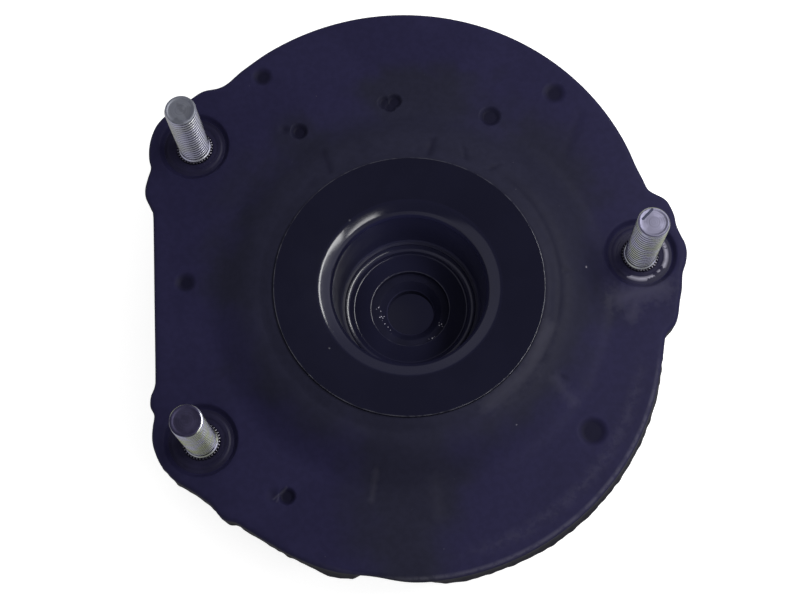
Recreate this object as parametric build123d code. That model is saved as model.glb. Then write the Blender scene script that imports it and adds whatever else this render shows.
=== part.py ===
from build123d import *
from math import cos, hypot, radians, sin
import os

# Strut mount, in millimetres. The origin is on the rod axis, at the lower face of the rod sleeve.
# +Z points up through the studs, +X points to the single stud, and +Y points to the far end of the flange.

# How far a cutter runs past the faces that it cuts, and how closely an edge must match to be picked
CUT_OVER = 1.0
SAME = 1e-4

# Rod seat: the plate that the rod nut clamps, and the sleeve below it
ROD_BORE_R = 6.1
SLEEVE_R = 12.5
SLEEVE_LENGTH = 5.0
SLEEVE_COUNTERSINK = 2.0
SEAT_SHEET = 2.0
SEAT_HOLE_R = 10.0
SEAT_R = 24.0
LIP_INNER_R = 15.6
LIP_WALL = 1.3
LIP_ROOT_R = 1.6
LIP_EDGE = 0.25
CRIMP_CLEARANCE = 0.05

# Rebound dish: conical rim, rounded shoulder, deep wall and a narrow ledge around the lip
DISH_SHEET = 2.0
DISH_RIM_R = 33.6
DISH_DEPTH = 19.0
DISH_CONE_DROP = 2.9
DISH_WALL_R = 20.3
DISH_WALL_TAPER = 0.9
DISH_SHOULDER_BEND = 1.2
DISH_FOOT_BEND = 2.4

# Flange: two round ends joined by straight sides, with a lug at each stud
FLANGE_DROP = 7.6
FLANGE_THICKNESS = 7.0
FLANGE_X = -1.1
FLANGE_END_R = 63.7
FAR_END_Y = 15.1
NEAR_END_Y = -8.1
FLANGE_EDGE = 1.1
NOTCH_R = 4.0
NOTCH_TURN = 8.0
LUG_R = 12.2
CORNER_R = 2.4
NUB_R = 2.5

# Studs: how far in from the side of the flange, and the place along it
LEFT_STUD_INSET = 11.4
RIGHT_STUD_INSET = 3.6
UPPER_STUD_Y = 44.0
RIGHT_STUD_Y = 6.4
LOWER_STUD_Y = -34.2

# Corners of each lug, and small moulded nubs, placed from the lug's stud
LUG_CORNERS = {
    "stud_upper_left": [(3.1, 14.0)],
    "stud_right": [(6.4, 12.5), (5.6, -16.6)],
    "stud_lower_left": [(3.9, -15.3)],
}
NUBS = {
    "stud_upper_left": [(-11.0, -12.0)],
    "stud_lower_left": [(-10.5, 10.7), (7.0, -19.2)],
}
STUD_R = 4.0
STUD_REACH = 22.0
STUD_POINT = 0.8
KNURL_TOOTH = 0.6
KNURL_RISE = 1.3
HEAD_R = 7.0
HEAD_HEIGHT = 2.2

# Carrier plate, moulded into the flange, with a collar drawn down around the hub
TOP_SKIN = 2.2
PLATE_SHEET = 2.4
EDGE_COVER = 2.6
COLLAR_DEPTH = 10.2
COLLAR_BEND = 2.0
BOSS_WALL = 1.7
BOSS_RISE = 0.8

# Rubber: dome round the dish, hub inside the collar and skins over the plate
DOME_BASE_R = 48.0
DOME_RISE = 5.6
RIM_GAP = 1.5
RIM_TUCK = 0.9
RIM_GROOVE_WIDTH = 1.3
RIM_GROOVE_DRAFT = 0.8
ROLL_RISE_WIDTH = 2.7
ROLL_WIDTH = 3.2
ROLL_FALL = 1.5
HUB_SKIN = 1.6
HUB_DRAFT = 0.8
HUB_FLOOR = 1.5
HUB_GROOVE_WIDTH = 2.4
HUB_GROOVE_DEPTH = 3.0
SKIN = 1.5
SLEEVE_GAP = 0.6
RECESS_GAP = 1.0
PIN_HOLE_R = 2.4
PIN_HOLES = [
    (-35.2, 61.9), (-26.5, 46.5), (-1.4, 52.4), (24.2, 46.7),
    (42.2, 52.4), (-56.4, 6.6), (-33.7, -49.4), (43.1, -38.6),
]

# Thrust bearing under the flange
BALL_COUNT = 24
BALL_R = 3.0
BALL_CLEARANCE = 0.1
GROOVE_SLACK = 0.2
GROOVE_DEPTH = 1.2
RACE_BACK = 1.0
RACE_LAND = 1.0
RACE_CLEARANCE = 0.05
RACE_GAP = 0.5
POCKET_DEPTH = 0.5
CAGE_HEIGHT = 2.4
CAGE_CLEARANCE = 0.15
CAGE_RAIL = 0.35
CAP_WEB = 3.5
CAP_WALL = 1.6
CAP_FIT = 0.1
LABYRINTH_GAP = 0.6
UPSTAND_WALL = 1.1
UPSTAND_GAP = 1.0
SNAP_GAP = 0.4
SNAP_BITE = 0.3
SNAP_HEIGHT = 1.2
CAP_LIP = 0.6
SEAL_HEIGHT = 1.0
SEAL_FOOT = 0.4
SEAL_LIP = 0.6
SEAL_GAP = 0.3
SEAL_MARGIN = 0.2
TAB_LENGTH = 3.0
TAB_WIDTH = 9.0
TAB_CORNER = 1.8

# Spring pad under the bearing
PAD_THICKNESS = 3.6
PAD_COIL_R = 6.0
PAD_COIL_DEPTH = 1.6
COIL_STOP_WIDTH = 6.0

# Levels that follow from the sizes above, upwards from the sleeve to the rim
seat_bottom_z = SLEEVE_LENGTH
seat_top_z = seat_bottom_z + SEAT_SHEET
ledge_top_z = seat_top_z + DISH_SHEET
rim_top_z = ledge_top_z + DISH_DEPTH
flange_top_z = rim_top_z - FLANGE_DROP
flange_bottom_z = flange_top_z - FLANGE_THICKNESS
hub_bottom_z = seat_bottom_z - HUB_FLOOR
plate_top_z = flange_top_z - TOP_SKIN
plate_bottom_z = plate_top_z - PLATE_SHEET
collar_bottom_z = plate_top_z - COLLAR_DEPTH
stud_top_z = flange_top_z + STUD_REACH
knurl_top_z = plate_top_z + KNURL_RISE
knurl_r = STUD_R + KNURL_TOOTH
boss_r = knurl_r + BOSS_WALL
recess_r = HEAD_R + RECESS_GAP
lip_r = LIP_INNER_R + LIP_WALL
dish_hole_r = lip_r + CRIMP_CLEARANCE
rim_groove_r = DISH_RIM_R + RIM_GROOVE_WIDTH
roll_r = rim_groove_r + ROLL_RISE_WIDTH
hub_r = SEAT_R + HUB_SKIN
collar_r = hub_r + HUB_GROOVE_WIDTH + SKIN
collar_outer_r = collar_r + PLATE_SHEET
spigot_r = collar_outer_r + SKIN
spigot_bottom_z = collar_bottom_z - SKIN
above = stud_top_z + CUT_OVER
left_stud_x = FLANGE_X - FLANGE_END_R + LEFT_STUD_INSET
right_stud_x = FLANGE_X + FLANGE_END_R - RIGHT_STUD_INSET
stud_places = {
    "stud_upper_left": (left_stud_x, UPPER_STUD_Y),
    "stud_right": (right_stud_x, RIGHT_STUD_Y),
    "stud_lower_left": (left_stud_x, LOWER_STUD_Y),
}

# Radii of the bearing, outwards from the spigot
cap_bore_r = spigot_r + CAP_FIT
inner_skirt_r = cap_bore_r + CAP_WALL
inner_upstand_r = inner_skirt_r + LABYRINTH_GAP
groove_r = BALL_R + GROOVE_SLACK
race_inner_r = inner_upstand_r + UPSTAND_WALL + RACE_GAP
ball_circle_r = race_inner_r + RACE_LAND + groove_r
race_outer_r = ball_circle_r + groove_r + RACE_LAND
cage_half_width = BALL_R + CAGE_CLEARANCE + CAGE_RAIL
outer_upstand_r = race_outer_r + LABYRINTH_GAP + UPSTAND_WALL
snap_r = outer_upstand_r + SNAP_GAP + SNAP_BITE
outer_skirt_inner_r = snap_r + SNAP_GAP
outer_skirt_r = outer_skirt_inner_r + CAP_WALL
lower_cap_r = outer_skirt_r + CAP_LIP

# Levels of the bearing, downwards from the flange
upper_web_z = flange_bottom_z - CAP_WEB
upper_race_top_z = upper_web_z + POCKET_DEPTH
ball_z = upper_race_top_z - RACE_BACK - BALL_CLEARANCE - BALL_R
upper_race_edge_z = upper_race_top_z - RACE_BACK - GROOVE_DEPTH
lower_race_bottom_z = 2 * ball_z - upper_race_top_z
lower_race_edge_z = 2 * ball_z - upper_race_edge_z
lower_web_z = lower_race_bottom_z + POCKET_DEPTH
lower_cap_bottom_z = lower_web_z - CAP_WEB
pad_bottom_z = lower_cap_bottom_z - PAD_THICKNESS
skirt_bottom_z = lower_web_z + SEAL_HEIGHT + SEAL_GAP
upstand_top_z = upper_web_z - UPSTAND_GAP


def shifted(points, distance):
    """Moves an open chain of lines sideways, to its left, and mitres it at the corners."""
    moved = []
    for i, (x, y) in enumerate(points):
        normals = []
        for a, b in ((i - 1, i), (i, i + 1)):
            if a >= 0 and b < len(points):
                dx = points[b][0] - points[a][0]
                dy = points[b][1] - points[a][1]
                run = hypot(dx, dy)
                normals.append((-dy / run, dx / run))
        nx = sum(n[0] for n in normals) / len(normals)
        ny = sum(n[1] for n in normals) / len(normals)
        stretch = distance / (nx * nx + ny * ny)
        moved.append((x + nx * stretch, y + ny * stretch))
    return moved


def chain(points, bends):
    """A chain of lines in the XZ plane with its corners rounded."""
    return Plane.XZ * FilletPolyline(*points, radius=bends)


def spin(*edges):
    """Revolves a closed outline in the XZ plane about the Z axis."""
    return revolve(make_face(Wire(edges)), Axis.Z, 360)


def ring_of(points):
    """Revolves a polygon given as (radius, height) points."""
    return revolve(Plane.XZ * make_face(Polyline(*points, close=True)), Axis.Z, 360)


def disc(r, low, high, x=0.0, y=0.0):
    """An upright cylinder between two heights."""
    return Pos(x, y, low) * Cylinder(r, high - low, align=(Align.CENTER, Align.CENTER, Align.MIN))


def ring(inner, outer, low, high):
    """An upright ring between two heights."""
    return disc(outer, low, high) - disc(inner, low - CUT_OVER, high + CUT_OVER)


def circles_at(shape, r, z):
    """Round edges of a given radius at a given height."""
    return [
        edge for edge in shape.edges().filter_by(GeomType.CIRCLE)
        if abs(edge.radius - r) < SAME and abs(edge.center().Z - z) < SAME
    ]


def save(shape, node):
    """Writes one node as a STEP file."""
    export_step(shape, f"parts/{node}.step")


# Dish: the top face runs from the rim over the shoulder to the ledge
dish_top = [
    (DISH_RIM_R, rim_top_z),
    (DISH_WALL_R, rim_top_z - DISH_CONE_DROP),
    (DISH_WALL_R - DISH_WALL_TAPER, ledge_top_z),
    (dish_hole_r, ledge_top_z),
]
dish_top_line = chain(dish_top, [DISH_SHOULDER_BEND + DISH_SHEET, DISH_FOOT_BEND])


def make_dish():
    rim_bottom_z = rim_top_z - DISH_SHEET
    under = [(DISH_RIM_R, rim_bottom_z), *shifted(dish_top, DISH_SHEET)[1:-1], (dish_hole_r, seat_top_z)]
    under_line = chain(under, [DISH_SHOULDER_BEND, DISH_FOOT_BEND + DISH_SHEET])
    rim = Line((DISH_RIM_R, 0, rim_top_z), (DISH_RIM_R, 0, rim_bottom_z))
    hole = Line((dish_hole_r, 0, ledge_top_z), (dish_hole_r, 0, seat_top_z))
    return spin(*dish_top_line.edges(), rim, *under_line.edges(), hole)


# Everything above the dish and the rod seat, taken out of the rubber
def make_hollow():
    outside = Line((DISH_RIM_R, 0, rim_top_z), (DISH_RIM_R, 0, above))
    lid = Line((DISH_RIM_R, 0, above), (0, 0, above))
    axis = Line((0, 0, above), (0, 0, seat_top_z))
    floor = Line((0, 0, seat_top_z), (dish_hole_r, 0, seat_top_z))
    hole = Line((dish_hole_r, 0, seat_top_z), (dish_hole_r, 0, ledge_top_z))
    return spin(*dish_top_line.edges(), outside, lid, axis, floor, hole)


# Rod seat: a flat ring with an upright lip that the dish is crimped to
def make_seat():
    seat = ring(SEAT_HOLE_R, SEAT_R, seat_bottom_z, seat_top_z)
    seat += ring(LIP_INNER_R, lip_r, seat_top_z, ledge_top_z)
    seat = fillet(circles_at(seat, LIP_INNER_R, seat_top_z), LIP_ROOT_R)
    tips = circles_at(seat, LIP_INNER_R, ledge_top_z) + circles_at(seat, lip_r, ledge_top_z)
    return chamfer(tips, LIP_EDGE)


def make_sleeve():
    sleeve = ring(ROD_BORE_R, SLEEVE_R, 0.0, SLEEVE_LENGTH)
    return chamfer(circles_at(sleeve, ROD_BORE_R, SLEEVE_LENGTH), SLEEVE_COUNTERSINK)


# Vertical edges where two walls of a blank meet in a notch
def notch_edges(blank):
    found = []
    for edge in blank.edges().filter_by(Axis.Z):
        point = edge.center()
        walls = [f for f in blank.faces() if any(e.is_same(edge) for e in f.edges())]
        turn = walls[0].normal_at(point).get_angle(walls[-1].normal_at(point))
        if turn > NOTCH_TURN:
            found.append(edge)
    return found


# Round-ended blank with a lug at each stud, used for the rubber and for the plate inside it
def flange_blank(low, high, cover, lug_corners):
    thickness = high - low
    up = (Align.CENTER, Align.CENTER, Align.MIN)
    end_r = FLANGE_END_R - cover
    middle_y = (FAR_END_Y + NEAR_END_Y) / 2
    blank = disc(end_r, low, high, FLANGE_X, FAR_END_Y)
    blank += disc(end_r, low, high, FLANGE_X, NEAR_END_Y)
    blank += Pos(FLANGE_X, middle_y, low) * Box(2 * end_r, FAR_END_Y - NEAR_END_Y, thickness, align=up)
    for name, (x, y) in stud_places.items():
        if lug_corners:
            rounds = [Pos(x, y) * Circle(LUG_R)]
            rounds += [Pos(x + dx, y + dy) * Circle(CORNER_R) for dx, dy in LUG_CORNERS[name]]
            outline = make_hull([edge for shape in rounds for edge in shape.edges()])
            blank += Pos(0, 0, low) * extrude(outline, thickness)
        else:
            blank += disc(LUG_R - cover, low, high, x, y)
    return fillet(notch_edges(blank), NOTCH_R)


def make_carrier():
    plate = flange_blank(plate_bottom_z, plate_top_z, EDGE_COVER, False)
    plate -= disc(collar_outer_r, plate_bottom_z - CUT_OVER, plate_top_z + CUT_OVER)
    plate += ring(collar_r, collar_outer_r, collar_bottom_z, plate_top_z)
    plate = fillet(circles_at(plate, collar_outer_r, plate_bottom_z), COLLAR_BEND)
    plate = fillet(circles_at(plate, collar_r, plate_top_z), COLLAR_BEND + PLATE_SHEET)
    for x, y in stud_places.values():
        plate += disc(boss_r, plate_top_z, plate_top_z + BOSS_RISE, x, y)
        plate -= disc(knurl_r, plate_bottom_z - CUT_OVER, above, x, y)
    return plate


def make_stud(x, y):
    stud = disc(HEAD_R, plate_bottom_z - HEAD_HEIGHT, plate_bottom_z, x, y)
    stud += disc(knurl_r, plate_bottom_z, knurl_top_z, x, y)
    stud += disc(STUD_R, knurl_top_z, stud_top_z, x, y)
    return chamfer(circles_at(stud, STUD_R, stud_top_z), STUD_POINT)


# Hub and dome of the rubber, before the metal is taken out of it
def make_hub():
    roll_z = flange_top_z + DOME_RISE
    rim_groove_z = rim_top_z - DISH_SHEET - RIM_GAP
    hub_groove_z = spigot_bottom_z + HUB_GROOVE_DEPTH
    inner_r = SLEEVE_R + SLEEVE_GAP
    tuck_r = DISH_RIM_R - RIM_TUCK
    return ring_of([
        (inner_r, hub_bottom_z),
        (hub_r - HUB_DRAFT, hub_bottom_z),
        (hub_r, hub_groove_z),
        (collar_r - SKIN, hub_groove_z),
        (collar_r - SKIN, spigot_bottom_z),
        (spigot_r, spigot_bottom_z),
        (spigot_r, flange_bottom_z),
        (DOME_BASE_R, flange_bottom_z),
        (DOME_BASE_R, flange_top_z),
        (roll_r + ROLL_WIDTH, roll_z - ROLL_FALL),
        (roll_r, roll_z),
        (rim_groove_r + RIM_GROOVE_DRAFT, rim_groove_z),
        (tuck_r, rim_groove_z),
        (tuck_r, roll_z),
        (inner_r, roll_z),
    ])


def soften_top(blank):
    """Bevels the upper edge of a flange or nub."""
    return chamfer([e for e in blank.edges() if abs(e.center().Z - flange_top_z) < SAME], FLANGE_EDGE)


def make_rubber(metal):
    rubber = soften_top(flange_blank(flange_bottom_z, flange_top_z, 0.0, True))
    for name, offsets in NUBS.items():
        x, y = stud_places[name]
        for dx, dy in offsets:
            rubber += soften_top(disc(NUB_R, flange_bottom_z, flange_top_z, x + dx, y + dy))
    rubber += make_hub()
    rubber -= make_hollow()
    for piece in metal:
        rubber -= piece
    for x, y in stud_places.values():
        rubber -= disc(knurl_r, flange_bottom_z - CUT_OVER, above, x, y)
        rubber -= disc(recess_r, plate_top_z, above, x, y)
        rubber -= disc(recess_r, flange_bottom_z - CUT_OVER, plate_bottom_z, x, y)
    for x, y in PIN_HOLES:
        rubber -= disc(PIN_HOLE_R, plate_top_z, above, x, y)
    return rubber


# Bearing caps: rings with skirts and upstands that interlock without touching
def make_upper_cap():
    bite_r = snap_r - SNAP_BITE
    bead_top_z = upstand_top_z - SNAP_HEIGHT - SNAP_GAP
    return ring_of([
        (cap_bore_r, flange_bottom_z),
        (cap_bore_r, skirt_bottom_z),
        (inner_skirt_r, skirt_bottom_z),
        (inner_skirt_r, upper_web_z),
        (race_inner_r - RACE_CLEARANCE, upper_web_z),
        (race_inner_r - RACE_CLEARANCE, upper_race_top_z),
        (race_outer_r + RACE_CLEARANCE, upper_race_top_z),
        (race_outer_r + RACE_CLEARANCE, upper_web_z),
        (outer_skirt_inner_r, upper_web_z),
        (outer_skirt_inner_r, bead_top_z),
        (bite_r, bead_top_z - SNAP_HEIGHT / 2),
        (outer_skirt_inner_r, bead_top_z - SNAP_HEIGHT),
        (outer_skirt_inner_r, skirt_bottom_z),
        (outer_skirt_r, skirt_bottom_z),
        (outer_skirt_r, flange_bottom_z),
    ])


def make_lower_cap():
    bead_bottom_z = upstand_top_z - SNAP_HEIGHT
    cap = ring_of([
        (cap_bore_r, lower_cap_bottom_z),
        (lower_cap_r, lower_cap_bottom_z),
        (lower_cap_r, lower_web_z),
        (outer_upstand_r, lower_web_z),
        (outer_upstand_r, bead_bottom_z),
        (snap_r, upstand_top_z - SNAP_HEIGHT / 2),
        (outer_upstand_r, upstand_top_z),
        (outer_upstand_r - UPSTAND_WALL, upstand_top_z),
        (outer_upstand_r - UPSTAND_WALL, lower_web_z),
        (race_outer_r + RACE_CLEARANCE, lower_web_z),
        (race_outer_r + RACE_CLEARANCE, lower_race_bottom_z),
        (race_inner_r - RACE_CLEARANCE, lower_race_bottom_z),
        (race_inner_r - RACE_CLEARANCE, lower_web_z),
        (inner_upstand_r + UPSTAND_WALL, lower_web_z),
        (inner_upstand_r + UPSTAND_WALL, upstand_top_z),
        (inner_upstand_r, upstand_top_z),
        (inner_upstand_r, lower_web_z),
        (cap_bore_r, lower_web_z),
    ])
    tab_reach = lower_cap_r + TAB_LENGTH
    tab = Pos(0, 0, lower_cap_bottom_z) * Box(
        TAB_WIDTH, tab_reach, CAP_WEB, align=(Align.CENTER, Align.MAX, Align.MIN))
    tab -= disc(lower_cap_r - CAP_LIP, lower_cap_bottom_z - CUT_OVER, lower_web_z + CUT_OVER)
    corners = [e for e in tab.edges().filter_by(Axis.Z) if abs(e.center().Y + tab_reach) < SAME]
    return cap + fillet(corners, TAB_CORNER)


# Races: flat rings with a ball groove, the lower one turned over
def make_race(back_z, edge_z):
    race = ring(race_inner_r, race_outer_r, min(back_z, edge_z), max(back_z, edge_z))
    toward = 1.0 if back_z > edge_z else -1.0
    groove_floor_z = back_z - toward * RACE_BACK
    groove = Pos(0, 0, groove_floor_z - toward * groove_r) * Torus(ball_circle_r, groove_r)
    return race - groove


def ball_places():
    step = 360.0 / BALL_COUNT
    for i in range(BALL_COUNT):
        angle = radians(i * step)
        yield ball_circle_r * cos(angle), ball_circle_r * sin(angle)


def make_cage():
    low = ball_z - CAGE_HEIGHT / 2
    cage = ring(ball_circle_r - cage_half_width, ball_circle_r + cage_half_width, low, low + CAGE_HEIGHT)
    high = low + CAGE_HEIGHT
    pocket_r = BALL_R + CAGE_CLEARANCE
    return cage - [disc(pocket_r, low - CUT_OVER, high + CUT_OVER, x, y) for x, y in ball_places()]


# Seals: flat-footed rings that narrow to a lip under each skirt of the upper cap
def make_seal(inner, outer):
    middle_r = (inner + outer) / 2
    return ring_of([
        (inner, lower_web_z),
        (outer, lower_web_z),
        (outer, lower_web_z + SEAL_FOOT),
        (middle_r + SEAL_LIP / 2, lower_web_z + SEAL_HEIGHT),
        (middle_r - SEAL_LIP / 2, lower_web_z + SEAL_HEIGHT),
        (inner, lower_web_z + SEAL_FOOT),
    ])


# Spring pad: a rubber ring with a round channel for the end coil and a stop across the channel
def make_pad():
    pad = ring(inner_upstand_r, lower_cap_r, pad_bottom_z, lower_cap_bottom_z)
    channel_r = (inner_upstand_r + lower_cap_r) / 2
    channel = Pos(0, 0, pad_bottom_z + PAD_COIL_DEPTH - PAD_COIL_R) * Torus(channel_r, PAD_COIL_R)
    stop = Pos(0, 0, pad_bottom_z - CUT_OVER) * Box(
        COIL_STOP_WIDTH, lower_cap_r, PAD_THICKNESS, align=(Align.CENTER, Align.MAX, Align.MIN))
    return pad - (channel - stop)


def main():
    os.makedirs("parts", exist_ok=True)
    dish = make_dish()
    seat = make_seat()
    carrier = make_carrier()
    save(dish, "rebound_dish")
    save(seat, "rod_seat")
    save(make_sleeve(), "rod_sleeve")
    save(carrier, "carrier_plate")
    for name, (x, y) in stud_places.items():
        save(make_stud(x, y), name)
    save(make_rubber([dish, seat, carrier]), "rubber_body")
    save(make_upper_cap(), "bearing_upper_cap")
    save(make_lower_cap(), "bearing_lower_cap")
    save(make_race(upper_race_top_z, upper_race_edge_z), "upper_race")
    save(make_race(lower_race_bottom_z, lower_race_edge_z), "lower_race")
    save(make_cage(), "ball_cage")
    for i, (x, y) in enumerate(ball_places()):
        save(Pos(x, y, ball_z) * Sphere(BALL_R), f"ball_{i + 1:02d}")
    save(make_seal(cap_bore_r, inner_upstand_r - SEAL_MARGIN), "inner_seal")
    save(make_seal(outer_upstand_r + SEAL_MARGIN, lower_cap_r - SEAL_MARGIN), "outer_seal")
    save(make_pad(), "spring_pad")


main()
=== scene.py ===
import logging
import math
from collections.abc import Callable, Iterable, Sequence
from dataclasses import dataclass, field
from enum import Enum

import bmesh
import bpy
import numpy as np
from mathutils import Matrix, Vector
from mathutils.geometry import delaunay_2d_cdt


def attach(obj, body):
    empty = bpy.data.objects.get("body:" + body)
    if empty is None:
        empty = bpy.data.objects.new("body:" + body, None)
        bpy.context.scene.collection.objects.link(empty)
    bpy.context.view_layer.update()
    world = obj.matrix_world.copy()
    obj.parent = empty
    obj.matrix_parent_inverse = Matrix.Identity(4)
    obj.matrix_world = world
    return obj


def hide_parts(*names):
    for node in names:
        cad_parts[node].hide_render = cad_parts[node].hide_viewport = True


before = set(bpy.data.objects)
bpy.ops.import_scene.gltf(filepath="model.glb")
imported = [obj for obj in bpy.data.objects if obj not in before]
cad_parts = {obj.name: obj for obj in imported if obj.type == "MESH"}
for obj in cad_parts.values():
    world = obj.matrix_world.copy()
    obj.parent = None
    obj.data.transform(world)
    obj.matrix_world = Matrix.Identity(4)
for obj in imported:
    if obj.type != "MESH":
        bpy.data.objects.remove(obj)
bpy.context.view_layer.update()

# Strut mount, lying studs up on its spring pad. Sizes are in millimetres, from the lower face of the rod
# sleeve, with +Z up through the studs, +X to the single stud and +Y to the far end of the flange.

log = logging.getLogger("strut_mount")

Spot = tuple[float, float]
Point = tuple[float, float, float]
Corner = tuple[float, float, float]
Colour = tuple[float, float, float, float]

MM = 0.001
TURN = 2.0 * math.pi
FLANGE_TOP = 20.4
FLANGE_BOTTOM = 13.4
PLATE_TOP = 18.2
FLOOR_LEVEL = -4.4
LEFT_STUDS_X = -53.4
RIGHT_STUD_X = 59.0


class Body(Enum):
    """The parts of the mount that turn against each other."""

    MOUNT = "mount"
    SEAT = "seat"


def smooth(value: np.ndarray | float) -> np.ndarray:
    """Eases a value that runs from 0 to 1."""
    t = np.clip(value, 0.0, 1.0)
    return t * t * (3.0 - 2.0 * t)


def even_turns(count: int) -> list[float]:
    """Even directions round a circle, in radians."""
    return [TURN * i / count for i in range(count)]


def spun(radius: float, height: float, direction: float, middle: Spot = (0.0, 0.0)) -> Point:
    """The point at a radius and a height, in a direction round an upright axis."""
    return (middle[0] + radius * math.cos(direction), middle[1] + radius * math.sin(direction), height)


def away(points: np.ndarray, x: float = 0.0, y: float = 0.0) -> np.ndarray:
    """How far points lie from a place, seen from above."""
    return np.hypot(points[:, 0] - x, points[:, 1] - y)


def soften(corners: Sequence[Corner], closed: bool = True, steps: int = 5) -> list[Spot]:
    """Rounds the corners of an outline.

    Args:
        corners: Each corner as (across, up, rounding).
        closed: Whether the last corner joins the first.
        steps: Lines in each rounding.

    Returns:
        The points of the rounded outline.
    """
    points: list[Spot] = []
    count = len(corners)
    for i, (x, y, rounding) in enumerate(corners):
        if rounding <= 0.0 or (not closed and i in (0, count - 1)):
            points.append((x, y))
            continue
        corner = Vector((x, y))
        back = Vector(corners[i - 1][:2]) - corner
        ahead = Vector(corners[(i + 1) % count][:2]) - corner
        half = back.angle(ahead) / 2.0
        reach = min(rounding / math.tan(half), back.length * 0.49, ahead.length * 0.49)
        radius = reach * math.tan(half)
        centre = corner + (back.normalized() + ahead.normalized()).normalized() * (radius / math.sin(half))
        start = corner + back.normalized() * reach - centre
        sweep = start.angle_signed(corner + ahead.normalized() * reach - centre)
        for k in range(steps + 1):
            spoke = start.copy()
            spoke.rotate(Matrix.Rotation(-sweep * k / steps, 2))
            points.append((centre.x + spoke.x, centre.y + spoke.y))
    return points


def show(name: str, data: bpy.types.ID) -> bpy.types.Object:
    """Makes an object and puts it in the scene.

    Args:
        name: The object's name.
        data: Its mesh, lamp or lens.

    Returns:
        The object.
    """
    made = bpy.data.objects.new(name, data)
    bpy.context.scene.collection.objects.link(made)
    return made


@dataclass
class Shell:
    """Points in millimetres and the faces between them."""

    points: list[Point] = field(default_factory=list)
    faces: list[tuple[int, ...]] = field(default_factory=list)

    def ring(self, points: Iterable[Point]) -> list[int]:
        """Adds points.

        Args:
            points: The points in order.

        Returns:
            Their numbers.
        """
        start = len(self.points)
        self.points.extend(points)
        return list(range(start, len(self.points)))

    def flat(self, ring: Sequence[int]) -> np.ndarray:
        """The points of a ring, seen from above."""
        return np.array([self.points[n][:2] for n in ring])

    def skin(self, rings: Sequence[list[int]], closed: bool = False) -> None:
        """Joins each ring to the next.

        Args:
            rings: Closed rings of the same length.
            closed: Whether the last joins the first.
        """
        for first, second in zip(rings, [*rings[1:], *(rings[:1] if closed else [])]):
            for i, point in enumerate(first):
                j = (i + 1) % len(first)
                self.faces.append((point, first[j], second[j], second[i]))

    def close(self, ring: list[int], centre: Point) -> None:
        """Closes a ring with a fan.

        Args:
            ring: The ring to close.
            centre: The middle of the fan.
        """
        middle = self.ring([centre])[0]
        for i, point in enumerate(ring):
            self.faces.append((point, ring[(i + 1) % len(ring)], middle))

    def piece(self, name: str, crease: float = 40.0) -> bpy.types.Object:
        """Makes the mesh object.

        Args:
            name: The piece's name.
            crease: Edges that turn by more than this many degrees stay sharp.

        Returns:
            The new object, in the scene.
        """
        mesh = bpy.data.meshes.new(name)
        mesh.from_pydata([(x * MM, y * MM, z * MM) for x, y, z in self.points], [], self.faces)
        work = bmesh.new()
        work.from_mesh(mesh)
        bmesh.ops.remove_doubles(work, verts=work.verts, dist=2e-7)
        bmesh.ops.dissolve_degenerate(work, edges=work.edges, dist=1e-8)
        bmesh.ops.recalc_face_normals(work, faces=work.faces)
        open_edges = sum(1 for edge in work.edges if not edge.is_manifold)
        work.to_mesh(mesh)
        work.free()
        mesh.polygons.foreach_set("use_smooth", [True] * len(mesh.polygons))
        mesh.set_sharp_from_angle(angle=math.radians(crease))
        log.info("%s: %d faces, %d open edges", name, len(mesh.polygons), open_edges)
        return show(name, mesh)


@dataclass(frozen=True, eq=False)
class Link:
    """What a node puts out. A sum of links places the nodes that work it out."""

    wiring: "Wiring"
    socket: bpy.types.NodeSocket

    def __add__(self, other: "Link | float") -> "Link":
        """Adds a value."""
        return self.wiring.math("ADD", self, other)

    def __sub__(self, other: "Link | float") -> "Link":
        """Takes a value away."""
        return self.wiring.math("SUBTRACT", self, other)

    def __mul__(self, other: "Link | float") -> "Link":
        """Multiplies by a value."""
        return self.wiring.math("MULTIPLY", self, other)

    def __truediv__(self, other: "Link | float") -> "Link":
        """Divides by a value."""
        return self.wiring.math("DIVIDE", self, other)

    def most(self, other: "Link | float") -> "Link":
        """The greater of this and a value."""
        return self.wiring.math("MAXIMUM", self, other)


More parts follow.
